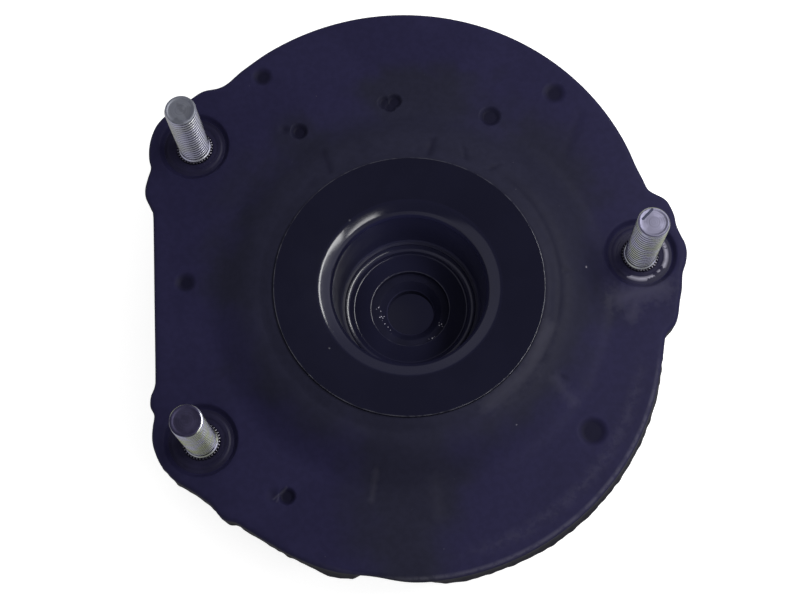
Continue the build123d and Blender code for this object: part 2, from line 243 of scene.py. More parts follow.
class Wiring:
    """Places and joins the nodes of one shader tree."""

    def __init__(self, tree: bpy.types.NodeTree) -> None:
        """Keeps the tree and clears it."""
        self.tree = tree
        tree.nodes.clear()

    def add(self, kind: str, sockets: dict | None = None, **settings: object) -> bpy.types.Node:
        """Adds a node.

        Args:
            kind: The node's type without its ShaderNode prefix, or a full type name.
            sockets: Input values or links, by input name or number.
            settings: Properties of the node.

        Returns:
            The node.
        """
        made = self.tree.nodes.new(kind if kind.startswith("Node") else "ShaderNode" + kind)
        for key, value in settings.items():
            setattr(made, key, value)
        for key, value in (sockets or {}).items():
            if isinstance(value, Link):
                self.tree.links.new(value.socket, made.inputs[key])
            else:
                made.inputs[key].default_value = value
        return made

    def get(self, kind: str, sockets: dict | None = None, which: int | str = 0, **settings: object) -> Link:
        """Adds a node and gives one of its outputs."""
        return Link(self, self.add(kind, sockets, **settings).outputs[which])

    def math(self, operation: str, *values: Link | float, clamp: bool = False) -> Link:
        """Adds a sum of numbers, held between 0 and 1 if it is clamped."""
        return self.get("Math", dict(enumerate(values)), operation=operation, use_clamp=clamp)

    def vector(self, operation: str, *values: Link | Point) -> Link:
        """Adds a sum of vectors, and gives the number or the vector that it makes."""
        which = "Value" if operation in ("LENGTH", "DISTANCE", "DOT_PRODUCT") else 0
        return self.get("VectorMath", dict(enumerate(values)), which, operation=operation)

    def scaled(self, vector: Link | Point, by: Link | float) -> Link:
        """Scales a vector or a colour."""
        return self.get("VectorMath", {0: vector, "Scale": by}, operation="SCALE")

    def mix(self, share: Link, first: Link | Colour, second: Link | Colour) -> Link:
        """Mixes two colours, by the share of the second."""
        return self.get("Mix", {0: share, 6: first, 7: second}, 2, data_type="RGBA")

    def fit(self, value: Link, low: float, high: float, to_low: float = 0.0, to_high: float = 1.0) -> Link:
        """Eases a value from the range low to high into the range to_low to to_high."""
        sockets = {0: value, 1: low, 2: high, 3: to_low, 4: to_high}
        return self.get("MapRange", sockets, interpolation_type="SMOOTHSTEP")

    def vary(self, share: Link, low: float, high: float) -> Link:
        """Eases a share of 0 to 1 into a range."""
        return self.fit(share, 0.0, 1.0, low, high)

    def ramp(self, value: Link, low: Link | float, high: Link | float) -> Link:
        """Turns a range evenly into 0 to 1."""
        return self.get("MapRange", {0: value, 1: low, 2: high, 3: 0.0, 4: 1.0})

    def noise(self, place: Link, scale: Link | float, detail: float = 2.0, rough: float = 0.5) -> Link:
        """Adds a noise."""
        return self.get("TexNoise", {"Vector": place, "Scale": scale, "Detail": detail, "Roughness": rough})

    def axes(self, place: Link) -> list[Link]:
        """Splits a place into across, along and up."""
        return [Link(self, output) for output in self.add("SeparateXYZ", {0: place}).outputs]

    def radius(self, place: Link) -> Link:
        """How far a place is from the upright axis."""
        x, y, _ = self.axes(place)
        return self.vector("LENGTH", self.get("CombineXYZ", {0: x, 1: y}))

    def moved(self, place: Link, middle: Spot) -> Link:
        """Measures a place from another middle."""
        return self.vector("SUBTRACT", place, (*middle, 0.0))

    def ray(self, kind: str) -> Link:
        """Tells whether the surface is met by a kind of ray."""
        return self.get("LightPath", which=f"Is {kind} Ray")


class Effect(Enum):
    """Effects that several finishes share, each a node group."""

    GRAIN = "Moulded grain"
    DUST = "Dust specks"
    WEAR_AND_SHEEN_RIM = "Round edge wear and sheen"
    SOFT_LINE = "Soft line"
    TURNING = "Turning marks"


class EffectGroups:
    """Builds the shared effects once, each as a node group."""

    def build(self) -> None:
        """Builds every group."""
        origin = (0.0, 0.0, 0.0)
        self.group(Effect.GRAIN, self.grain, Grain=0.4, Blotch=14.0)
        self.group(Effect.DUST, self.dust, Spacing=6.0, Size=0.3, Amount=0.3)
        self.group(Effect.WEAR_AND_SHEEN_RIM, self.wear_and_sheen_rim, Radius=30.0, Height=0.0, Reach=0.5, Whole=0.5)
        self.group(Effect.SOFT_LINE, self.soft_line, Start=origin, End=(1.0, 0.0, 0.0), Width=1.0, Ragged=1.0)
        self.group(Effect.TURNING, self.turning, Centre=origin, Pitch=0.3)

    def group(self, effect: Effect, wire: Callable[..., dict[str, Link]], **inputs: float | Point) -> None:
        """Makes one group.

        Args:
            effect: Which effect.
            wire: Works out what it puts out, from its place and its other inputs.
            inputs: The values of those inputs at first.
        """
        tree = bpy.data.node_groups.new(effect.value, "ShaderNodeTree")
        w = Wiring(tree)
        for name, value in {"Place": (0.0, 0.0, 0.0), **inputs}.items():
            kind = "NodeSocketFloat" if isinstance(value, float) else "NodeSocketVector"
            tree.interface.new_socket(name=name, in_out="INPUT", socket_type=kind).default_value = value
        given = w.add("NodeGroupInput").outputs
        found = wire(w, *(Link(w, given[name]) for name in ("Place", *inputs)))
        for name in found:
            tree.interface.new_socket(name=name, in_out="OUTPUT", socket_type="NodeSocketFloat")
        w.add("NodeGroupOutput", found)

    def grain(self, w: Wiring, place: Link, grain: Link, blotch: Link) -> dict[str, Link]:
        """Wires fine moulded grain, soft mottling and broad blotches.

        Args:
            w: The wiring of the group.
            place: Where the surface is.
            grain: The size of the grain.
            blotch: The size of the blotches.

        Returns:
            The height of the grain and the shares of mottling and blotches.
        """
        fine = w.noise(place, w.math("DIVIDE", 1.0, grain), 3.0, 0.6)
        coarse = w.noise(place, w.math("DIVIDE", 0.22, grain), 2.0)
        broad = w.noise(place, w.math("DIVIDE", 1.0, blotch), 3.0, 0.55)
        return {"Height": fine * 0.6 + coarse * 0.4, "Mottle": w.fit(coarse, 0.3, 0.7),
                "Blotches": w.fit(broad, 0.38, 0.64)}

    def dust(self, w: Wiring, place: Link, spacing: Link, size: Link, amount: Link) -> dict[str, Link]:
        """Wires small scattered specks.

        Args:
            w: The wiring of the group.
            place: Where the surface is.
            spacing: How far apart specks can lie.
            size: How large they are.
            amount: The share of places that have one.

        Returns:
            The mask of the specks.
        """
        cells = w.add("TexVoronoi", {"Vector": place, "Scale": w.math("DIVIDE", 1.0, spacing)}).outputs
        picked = w.math("LESS_THAN", w.get("SeparateColor", {0: Link(w, cells["Color"])}), amount)
        wide = size / spacing
        ragged = Link(w, cells["Distance"]) + (w.noise(place, 3.0) - 0.5) * wide
        return {"Mask": picked * w.ramp(ragged, wide, wide * 0.5)}

    def wear_and_sheen_rim(self, w: Wiring, place: Link, radius: Link, height: Link, reach: Link,
                 whole: Link) -> dict[str, Link]:
        """Wires wear along a round edge.

        Args:
            w: The wiring of the group.
            place: Where the surface is.
            radius: The radius of the edge.
            height: Its height.
            reach: How far the wear spreads from it.
            whole: How unbroken the wear is.

        Returns:
            The mask of the band.
        """
        across = w.radius(place) - radius
        up = w.axes(place)[2] - height
        off = w.math("SQRT", across * across + up * up)
        broken = w.math("ADD", w.fit(w.noise(place, 0.45, 4.0, 0.65), 0.4, 0.62), whole, clamp=True)
        return {"Mask": w.ramp(off, reach, 0.0) * broken}

    def soft_line(self, w: Wiring, place: Link, start: Link, end: Link, width: Link,
              ragged: Link) -> dict[str, Link]:
        """Wires a soft line between two places, seen from above.

        Args:
            w: The wiring of the group.
            place: Where the surface is.
            start: One end of the line.
            end: Its other end.
            width: Half its width.
            ragged: How uneven its sides are.

        Returns:
            The mask of the line.
        """
        run = w.vector("SUBTRACT", end, start)
        gone = w.vector("MULTIPLY", w.vector("SUBTRACT", place, start), (1.0, 1.0, 0.0))
        along, whole = w.vector("DOT_PRODUCT", gone, run), w.vector("DOT_PRODUCT", run, run)
        share = w.math("DIVIDE", along, whole, clamp=True)
        off = w.vector("DISTANCE", gone, w.scaled(run, share))
        uneven = w.fit(w.noise(place, 0.7, 3.0), 0.3, 0.7, -0.65, 0.3)
        return {"Mask": w.ramp(off, width * (uneven * ragged + 1.0), 0.0)}

    def turning(self, w: Wiring, place: Link, centre: Link, pitch: Link) -> dict[str, Link]:
        """Wires fine rings round an upright axis.

        Args:
            w: The wiring of the group.
            place: Where the surface is.
            centre: A point on the axis.
            pitch: How far apart the rings lie.

        Returns:
            The height of the rings.
        """
        gone = w.vector("SUBTRACT", place, centre)
        ways = w.get("CombineXYZ", {0: w.radius(gone) / pitch, 1: w.axes(gone)[2] / pitch})
        return {"Height": w.noise(ways, 1.0, 2.0)}


def hue(red: int, green: int, blue: int) -> Colour:
    """Turns a colour as it looks on a screen, 0 to 255, into linear light."""
    linear = [c / 3294.6 if c <= 10 else ((c / 255.0 + 0.055) / 1.055) ** 2.4 for c in (red, green, blue)]
    return (linear[0], linear[1], linear[2], 1.0)


def grey(value: float) -> Colour:
    """A grey in linear light."""
    return (value, value, value, 1.0)


@dataclass(frozen=True)
class WearAndSheen:
    """A band along a round edge, used for wear and for painted highlights and sheen: how far it spreads, how
    unbroken it is and how strong.
    """

    radius: float
    height: float
    reach: float
    whole: float
    strength: float = 1.0


@dataclass(frozen=True)
class RubAndSheen:
    """A pale arc near the edge of the flange's near end, which fades in between two places across; used for
    a pale scuff and for a painted highlight along the rounded edge.
    """

    edge_band: WearAndSheen
    fade: Spot


@dataclass(frozen=True)
class SoftLine:
    """A soft line between two places, seen from above, with half its width and its strength."""

    start: Spot
    end: Spot
    width: float
    strength: float = 1.0
    ragged: float = 0.6


@dataclass(frozen=True)
class EdgeHighlight:
    """A painted highlight along a stretch of a round edge, measured from its own middle."""

    middle: Spot
    edge_band: WearAndSheen
    stretch: SoftLine


@dataclass(frozen=True)
class Finish:
    """A surface finish; each kind paints itself onto a material."""

    name: str

    def material(self) -> bpy.types.Material:
        """Makes the material, or finds the one made before.

        Returns:
            The material.
        """
        found = bpy.data.materials.get(self.name)
        if found is None:
            found = bpy.data.materials.new(self.name)
            found.use_nodes = True
            w = Wiring(found.node_tree)
            self.paint(w, w.scaled(w.get("TexCoord", which="Object"), 1.0 / MM))
        return found

    def paint(self, w: Wiring, place: Link) -> None:
        """Wires the finish; each kind has its own."""
        raise NotImplementedError

    def effect(self, w: Wiring, effect: Effect, place: Link, **values: float | Point) -> list[Link]:
        """Places a shared effect with its own values, and gives all that it puts out."""
        made = w.add("Group", {"Place": place, **values}, node_tree=bpy.data.node_groups[effect.value])
        return [Link(w, output) for output in made.outputs]

    def grained(self, w: Wiring, place: Link, grain: float, blotch: float) -> list[Link]:
        """The height of a grain, and the shares of mottling and blotches."""
        return self.effect(w, Effect.GRAIN, place, Grain=grain, Blotch=blotch)

    def specks(self, w: Wiring, place: Link, spacing: float, size: float, amount: float) -> Link:
        """The mask of scattered specks."""
        return self.effect(w, Effect.DUST, place, Spacing=spacing, Size=size, Amount=amount)[0]

    def worn(self, w: Wiring, place: Link, edge_band: WearAndSheen) -> Link:
        """How strongly a band along a round edge shows; it serves for wear and for painted highlights and
        sheen.
        """
        edge = {"Radius": edge_band.radius, "Height": edge_band.height, "Reach": edge_band.reach, "Whole": edge_band.whole}
        return self.effect(w, Effect.WEAR_AND_SHEEN_RIM, place, **edge)[0] * edge_band.strength

    def soft_line_mask(self, w: Wiring, place: Link, soft_line: SoftLine) -> Link:
        """The mask of a soft line."""
        line = {"Start": (*soft_line.start, 0.0), "End": (*soft_line.end, 0.0), "Width": soft_line.width}
        return self.effect(w, Effect.SOFT_LINE, place, **line, Ragged=soft_line.ragged)[0]

    def shade(self, w: Wiring, sockets: dict[str, Link | float], height: Link, depth: float) -> None:
        """Adds the shader, its bump and the output.

        Args:
            w: The wiring of the material.
            sockets: What changes over the surface and what is the same all over it.
            height: What the bump follows.
            depth: The height of the bump, in millimetres.
        """
        bump = w.get("Bump", {"Height": height, "Distance": depth * MM, "Strength": 1.0})
        shader = w.get("BsdfPrincipled", {**sockets, "Normal": bump})
        w.add("OutputMaterial", {"Surface": shader})


@dataclass(frozen=True)
class RubberFinish(Finish):
    """Dusty moulded rubber, bluer on the flange and greyer round the dome and along a stripe, with painted
    shade in its hollows and on its side and painted highlights along the lip and the near edge.
    """

    flange: Colour = hue(35, 33, 60)
    dome: Colour = hue(34, 34, 50)
    # Painted shade in the pits, the nicks and round the stud recesses.
    hollow: Colour = hue(19, 18, 35)
    # Painted shade on the side wall of the flange.
    side: Colour = hue(30, 29, 40)
    # Used for dust specks and scuffs, and for the painted highlights along the lip and the near edge.
    dust: Colour = hue(150, 148, 160)
    grey_middle: Spot = (2.0, 5.0)
    grey_within: float = 47.0
    stripe_middle: float = -0.3
    stripe_half: float = 12.0
    stripe_end: float = 55.0
    rub_and_sheen_middle: Spot = (-1.1, -8.1)
    # The broad arc is a pale scuff; the thin one, on the rounded edge, is a painted highlight.
    rubs_and_sheen: tuple[RubAndSheen, ...] = (
        RubAndSheen(WearAndSheen(58.6, FLANGE_TOP, 2.4, 0.2, 0.036), (2.0, 24.0)),
        RubAndSheen(WearAndSheen(62.9, FLANGE_TOP - 0.25, 0.75, 0.5, 0.15), (-34.0, 10.0)),
    )
    # The two lines along the lip at the lower right, from (17.5, -31.5) to (33.0, -13.5), are a painted
    # highlight; the others are pale lines and patches.
    scuffs_and_highlights: tuple[SoftLine, ...] = (
        SoftLine((52.5, -5.0), (63.0, -3.0), 5.0, 0.07),
        SoftLine((55.0, -10.0), (57.5, -3.0), 3.2, 0.05),
        SoftLine((-36.2, -49.8), (-32.9, -47.2), 0.42, 0.08),
        SoftLine((-34.8, -49.0), (-35.4, -50.5), 0.4, 0.06),
        SoftLine((17.5, -31.5), (27.5, -23.5), 3.6, 0.045),
        SoftLine((27.5, -23.5), (33.0, -13.5), 3.4, 0.045),
        SoftLine((-11.0, -45.0), (-12.6, -51.5), 1.3, 0.035),
        SoftLine((3.0, -48.0), (3.4, -56.0), 3.0, 0.015),
        SoftLine((34.0, -26.0), (38.0, -31.0), 2.6, 0.035),
    )

    def paint(self, w: Wiring, place: Link) -> None:
        """Wires blotched rubber with a fine grain, painted shade, dust specks, pale scuffs and painted
        highlights.

        Args:
            w: The wiring of the material.
            place: Where the surface is.
        """
        height, mottle, blotches = self.grained(w, place, 0.35, 26.0)
        colour = w.mix(self.greyness(w, place, blotches), self.flange, self.dome)
        colour = w.scaled(colour, w.vary(mottle, 0.95, 1.05) * w.vary(blotches, 0.95, 1.05))
        # Painted shade in the pits, the nicks and round the recesses.
        sunk = w.get("Attribute", which="Fac", attribute_name="hollow") * 0.92
        colour = w.mix(sunk, colour, self.hollow)
        # Painted shade on the side wall of the flange.
        colour = w.mix(w.get("Attribute", which="Fac", attribute_name="side"), colour, self.side)
        # Pale marks in the dust colour: dust specks, scuffs, and painted highlights along the lip and the
        # near edge.
        pale = self.specks(w, place, 11.0, 0.34, 0.2) * 0.7
        pale = pale.most(self.specks(w, place, 3.5, 0.14, 0.25) * 0.2)
        above = w.fit(w.axes(place)[2], 16.0, 19.0)
        for soft_line in self.scuffs_and_highlights:
            pale = pale.most(self.soft_line_mask(w, place, soft_line) * (above * soft_line.strength))
        colour = w.mix(pale.most(self.pale_band(w, place)), colour, self.dust)
        self.shade(w, {"Base Color": colour, "Roughness": w.vary(blotches, 0.5, 0.56),
                       "Specular IOR Level": 0.07}, height, 0.01)

    def greyness(self, w: Wiring, place: Link, blotches: Link) -> Link:
        """Gives where the rubber is greyer.

        Args:
            w: The wiring of the material.
            place: Where the surface is.
            blotches: Broad blotches that fray the border.

        Returns:
            The share of grey.
        """
        moved = w.moved(place, self.grey_middle)
        x, y, _ = w.axes(moved)
        ring = w.fit(w.radius(moved) + blotches * 10.0, self.grey_within + 15.0, self.grey_within)
        across = w.math("ABSOLUTE", x - y * 0.08 - self.stripe_middle) - y * 0.05
        stripe = w.fit(across + blotches * 9.0, self.stripe_half + 14.0, self.stripe_half)
        return ring.most(stripe * w.fit(y + blotches * 6.0, self.stripe_end + 6.0, self.stripe_end))

    def pale_band(self, w: Wiring, place: Link) -> Link:
        """Gives the pale arcs near the edge of the near end: a broad scuff and a painted highlight along the
        rounded edge.

        Args:
            w: The wiring of the material.
            place: Where the surface is.

        Returns:
            How strongly the arcs show.
        """
        moved = w.moved(place, self.rub_and_sheen_middle)
        x, y, _ = w.axes(moved)
        below = w.fit(y, -8.0, -24.0)
        broad, thin = (self.worn(w, moved, band.edge_band) * (below * w.fit(x, *band.fade)) for band in self.rubs_and_sheen)
        return broad + thin


@dataclass(frozen=True)
class PaintFinish(Finish):
    """Satin black coat over steel, worn along its round edges, with painted light down in the well and a
    painted sheen band on its bend, if it has one.
    """

    colour: Colour = hue(24, 24, 39)
    # Painted light: a lighter colour deep in the well, where little light reaches.
    well_painted_light: Colour = hue(29, 29, 49)
    well_light_levels: Spot = (24.6, 23.0)
    dull_levels: Spot = (24.5, 20.0)
    # Painted sheen: the colour of the lighter band along the bend.
    pale_band: Colour = hue(27, 27, 44)
    steel: Colour = hue(150, 150, 160)
    roughness: float = 0.14
    deep_roughness: float = 0.16
    edges: tuple[WearAndSheen, ...] = ()
    bend: WearAndSheen | None = None

    def paint(self, w: Wiring, place: Link) -> None:
        """Wires the coat, its specks, its painted light in the well, its painted sheen on the bend and its
        bare edges.

        Args:
            w: The wiring of the material.
            place: Where the surface is.
        """
        height, mottle, blotches = self.grained(w, place, 0.8, 12.0)
        bare = self.specks(w, place, 7.0, 0.3, 0.3) * 0.5
        for edge in self.edges:
            bare = bare.most(self.worn(w, place, edge))
        x, y, level = w.axes(place)
        # Painted light in the well: darker towards the left, lighter towards the far side.
        uneven = w.fit(x, -19.0, -7.0, 0.55, 1.0) * w.fit(y, 6.0, 17.0, 1.0, 1.5)
        colour = w.mix(w.fit(level, *self.well_light_levels), self.colour, w.scaled(self.well_painted_light[:3], uneven))
        colour = w.scaled(colour, w.vary(blotches, 0.97, 1.04))
        # Painted sheen: a lighter band along the bend.
        if self.bend:
            colour = w.mix(w.fit(self.worn(w, place, self.bend), 0.0, 0.35), colour, self.pale_band)
        colour = w.mix(bare, colour, self.steel)
        rough = w.fit(level, *self.dull_levels, self.roughness, self.deep_roughness)
        rough = rough * w.vary(mottle, 0.94, 1.08)
        self.shade(w, {"Base Color": colour, "Roughness": rough, "Metallic": bare}, height, 0.002)


@dataclass(frozen=True)
class SteelFinish(Finish):
    """Bare steel with turning marks and a little dirt."""

    colour: Colour = hue(168, 168, 172)
    dirt: Colour = hue(60, 58, 66)
    dirt_share: float = 0.2
    pitch: float = 0.25
    roughness: float = 0.3

    def paint(self, w: Wiring, place: Link) -> None:
        """Wires the steel, its turning marks and the dirt in patches.

        Args:
            w: The wiring of the material.
            place: Where the surface is.
        """
        height, mottle, _ = self.grained(w, place, 0.25, 3.0)
        rings = self.effect(w, Effect.TURNING, place, Pitch=self.pitch)[0]
        colour = w.mix(w.fit(mottle, 0.45, 0.9) * self.dirt_share, self.colour, self.dirt)
        rough = w.fit(rings, 0.3, 0.7, self.roughness - 0.06, self.roughness + 0.1)
        self.shade(w, {"Base Color": colour, "Roughness": rough, "Metallic": 1.0},
                   rings * 0.7 + height * 0.3, 0.012)


@dataclass(frozen=True)
class StudFinish(Finish):
    """Zinc plated thread with a faint tint and painted shade in its root, and a duller end with turning
    rings.
    """

    middle: Spot
    colour: Colour = hue(212, 212, 220)
    tint: Colour = hue(206, 209, 190)
    # Painted shade in the root of the thread.
    root: Colour = hue(104, 104, 112)
    knurl: Colour = hue(112, 110, 118)
    root_shade_radii: Spot = (3.88, 3.5)
    knurl_levels: Spot = (19.75, 19.55)
    end: Colour = hue(164, 167, 174)
    end_levels: Spot = (42.05, 42.15)
    mark: SoftLine | None = None
    mark_colour: Colour = hue(72, 74, 92)

    def paint(self, w: Wiring, place: Link) -> None:
        """Wires the plating, the painted shade in the root of the thread, the end face and its mark.

        Args:
            w: The wiring of the material.
            place: Where the surface is.
        """
        _, _, blotches = self.grained(w, place, 0.3, 5.0)
        rings = self.effect(w, Effect.TURNING, place, Centre=(*self.middle, 0.0), Pitch=0.45)[0]
        moved = w.moved(place, self.middle)
        level = w.axes(moved)[2]
        colour = w.mix(blotches, self.colour, self.tint)
        # Painted shade in the root of the thread.
        colour = w.mix(w.fit(w.radius(moved), *self.root_shade_radii), colour, self.root)
        colour = w.mix(w.fit(level, *self.knurl_levels), colour, self.knurl)
        uneven = w.fit(rings, 0.3, 0.7, 0.93, 1.04) * w.fit(blotches, 0.2, 0.8, 0.85, 1.1)
        face = w.scaled(self.end[:3], uneven)
        if self.mark:
            face = w.mix(w.fit(self.soft_line_mask(w, place, self.mark), 0.0, 0.3), face, self.mark_colour)
        on_end = w.fit(level, *self.end_levels)
        self.shade(w, {"Base Color": w.mix(on_end, colour, face), "Roughness": w.vary(on_end, 0.24, 0.6),
                       "Metallic": 1.0}, rings * on_end, 0.03)


@dataclass(frozen=True)
class CoatedFinish(Finish):
    """Dark coated steel with painted light between two levels, bright chips along some stretches and a
    painted highlight along a stretch of one edge.
    """

    colour: Colour = hue(26, 26, 40)
    # Painted light: the lighter colour between the two levels.
    dust: Colour = hue(48, 48, 72)
    steel: Colour = hue(225, 222, 240)
    roughness: float = 0.4
    gloss: float = 0.5
    bore_light_levels: Spot | None = None
    chips: tuple[SoftLine, ...] = ()
    edge_highlight: EdgeHighlight | None = None

    def paint(self, w: Wiring, place: Link) -> None:
        """Wires the coat, its painted light between two levels, its chips and its painted edge highlight.

        Args:
            w: The wiring of the material.
            place: Where the surface is.
        """
        height, mottle, blotches = self.grained(w, place, 0.5, 8.0)
        colour = w.scaled(self.colour[:3], w.vary(blotches, 0.88, 1.12))
        level = w.axes(place)[2]
        # Painted light: lighter between the two levels.
        if self.bore_light_levels:
            low, high = self.bore_light_levels
            colour = w.mix(w.fit(level, low, low + 0.3) * w.fit(level, high + 0.3, high), colour, self.dust)
        bare = self.specks(w, place, 5.0, 0.25, 0.15) * 0.5
        above = w.fit(level, 2.0, 2.6)
        for chip in self.chips:
            near = w.fit(self.soft_line_mask(w, place, chip), 0.1, 0.5) * above
            bare = bare.most(self.specks(w, place, 0.7, 0.17, 0.5) * near)
        # Painted highlight: the steel colour along a stretch of a round edge.
        if self.edge_highlight:
            moved = w.moved(place, self.edge_highlight.middle)
            stretch = w.fit(self.soft_line_mask(w, moved, self.edge_highlight.stretch), 0.05, 0.3)
            bare = bare.most(self.worn(w, moved, self.edge_highlight.edge_band) * stretch * self.edge_highlight.stretch.strength)
        rough = w.vary(mottle, self.roughness - 0.04, self.roughness + 0.06)
        self.shade(w, {"Base Color": w.mix(bare, colour, self.steel), "Roughness": rough,
                       "Specular IOR Level": self.gloss}, height, 0.006)


@dataclass(frozen=True)
class MouldedFinish(Finish):
    """Moulded plastic or plain rubber, with grain and a little dust."""

    colour: Colour = hue(40, 40, 43)
    dust: Colour = hue(140, 138, 140)
    grain: float = 0.3
    depth: float = 0.02
    roughness: float = 0.5

    def paint(self, w: Wiring, place: Link) -> None:
        """Wires the moulded surface.

        Args:
            w: The wiring of the material.
            place: Where the surface is.
        """
        height, mottle, blotches = self.grained(w, place, self.grain, 12.0)
        colour = w.scaled(self.colour[:3], w.vary(mottle, 0.85, 1.15))
        colour = w.mix(self.specks(w, place, 4.0, 0.16, 0.2) * 0.5, colour, self.dust)
        rough = w.vary(blotches, self.roughness - 0.06, self.roughness + 0.06)
        self.shade(w, {"Base Color": colour, "Roughness": rough}, height, self.depth)


def dress(piece: bpy.types.Object, body: Body, finish: Finish, node: str | None = None) -> None:
    """Gives a piece its finish and its body.

    Args:
        piece: The new piece.
        body: What it moves with.
        finish: Its finish.
        node: The node that it stands for, if it replaces one.
    """
    piece.data.materials.append(finish.material())
    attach(piece, body.value)
    if node:
        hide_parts(node)


@dataclass
class Turned:
    """A ring-shaped piece, spun about the rod axis from a rounded outline."""

    name: str
    body: Body
    slot: str
    finish: Finish
    outline: tuple[Corner, ...]
    around: int = 256

    def directions(self) -> list[float]:
        """The directions, in radians, in which the outline is repeated."""
        return even_turns(self.around)

    def rows(self) -> list[Spot]:
        """The points of the outline, as (radius, height)."""
        return soften(self.outline)

    def place(self, radius: float, height: float, direction: float) -> Point:
        """Puts a point of the outline where it belongs."""
        return spun(radius, height, direction)

    def build(self) -> None:
        """Builds and dresses the piece in place of its node."""
        shell = Shell()
        rings = [shell.ring(self.place(r, z, d) for d in self.directions()) for r, z in self.rows()]
        shell.skin(rings, closed=True)
        dress(shell.piece(self.name + "_surface"), self.body, self.finish, self.name)


@dataclass
class SpringPad(Turned):
    """The rubber ring under the bearing, with a channel for the end coil and a stop across it."""

    channel_radius: float = 43.2
    coil_radius: float = 6.0
    channel_depth: float = 1.6
    channel_rows: int = 15
    stop_half_width: float = 3.0
    stop_edge: float = 0.6

    def rows(self) -> list[Spot]:
        """The outline, with rows across the channel.

        Returns:
            The points, as (radius, height).
        """
        half = math.sqrt(self.coil_radius ** 2 - (self.coil_radius - self.channel_depth) ** 2)
        last = self.channel_rows - 1
        turns = [math.pi * k / last for k in range(last + 1)]
        across = [(self.channel_radius - half * math.cos(turn), FLOOR_LEVEL) for turn in turns]
        rounded = soften(self.outline)
        start = next(i for i, (r, _) in enumerate(rounded) if r > self.channel_radius)
        return rounded[:start] + across + rounded[start:]

    def place(self, radius: float, height: float, direction: float) -> Point:
        """Sinks the channel, except at the stop.

        Args:
            radius: Distance from the axis.
            height: Height of the outline.
            direction: Direction round the axis.

        Returns:
            The point.
        """
        x, y, _ = spun(radius, height, direction)
        off = radius - self.channel_radius
        sunk = math.sqrt(max(self.coil_radius ** 2 - off ** 2, 0.0)) - self.coil_radius + self.channel_depth
        if height >= FLOOR_LEVEL + 0.01 or sunk <= 0.0:
            return (x, y, height)
        past = 1.0 if y > 0.0 else float(smooth((abs(x) - self.stop_half_width) / self.stop_edge))
        return (x, y, height + sunk * past)


@dataclass
class LowerCap(Turned):
    """The lower bearing cap, with its locating tab towards the near end."""

    reach: float = 53.7
    half_width: float = 4.5
    corner: float = 1.8
    wall: float = 50.7
    depth: float = 1.0

    def tab_outline(self) -> list[Spot]:
        """The right half of the tab, from its root to its middle.

        Returns:
            The points, as (across, out).
        """
        root = math.sqrt(self.wall ** 2 - self.half_width ** 2)
        inner, start = self.half_width - self.corner, self.reach - self.corner
        points = [(self.half_width + 0.25, root + 0.02), (self.half_width, root + 0.3),
                  (self.half_width, start)]
        for k in range(1, 7):
            turn = math.pi / 2.0 * k / 6
            points.append((inner + self.corner * math.cos(turn), start + self.corner * math.sin(turn)))
        return points + [(inner / 2.0, self.reach), (0.0, self.reach)]

    def directions(self) -> list[float]:
        """Even steps, with the tab's own points in between.

        Returns:
            The directions, in radians.
        """
        clear = math.atan2(self.half_width + 0.6, self.wall)
        near = -math.pi / 2.0
        right = [math.atan2(across, out) for across, out in self.tab_outline()]
        tab = [near - d for d in right] + [near + d for d in reversed(right[:-1])]
        steps = int((TURN - 2.0 * clear) / (TURN / self.around))
        return [near + clear + (TURN - 2.0 * clear) * i / steps for i in range(steps + 1)] + tab

    def place(self, radius: float, height: float, direction: float) -> Point:
        """Draws the outer wall out along the tab.

        Args:
            radius: Distance from the axis.
            height: Height of the outline.
            direction: Direction round the axis.

        Returns:
            The point.
        """
        turn = (direction + math.pi / 2.0 + math.pi) % TURN - math.pi
        inset = self.wall - radius
        for across, out in self.tab_outline():
            if inset < self.depth and abs(abs(turn) - math.atan2(across, out)) < 1e-6:
                return spun(math.hypot(across, out) - inset, height, direction)
        return spun(radius, height, direction)


@dataclass
class Dish(Turned):
    """The pressed rebound dish, with faint waves left by the press."""

    wave: float = 0.03

    def place(self, radius: float, height: float, direction: float) -> Point:
        """Waves the sheet a little, between its foot and its rim.

        Args:
            radius: Distance from the axis.
            height: Height of the outline.
            direction: Direction round the axis.

        Returns:
            The point.
        """
        swell = math.sin(3.0 * direction + 0.7) + 0.6 * math.sin(7.0 * direction + height * 0.2)
        depth = float(smooth((height - 9.5) / 6.0)) * float(smooth((33.5 - radius) / 4.0))
        return spun(radius + self.wave * swell * depth, height, direction)


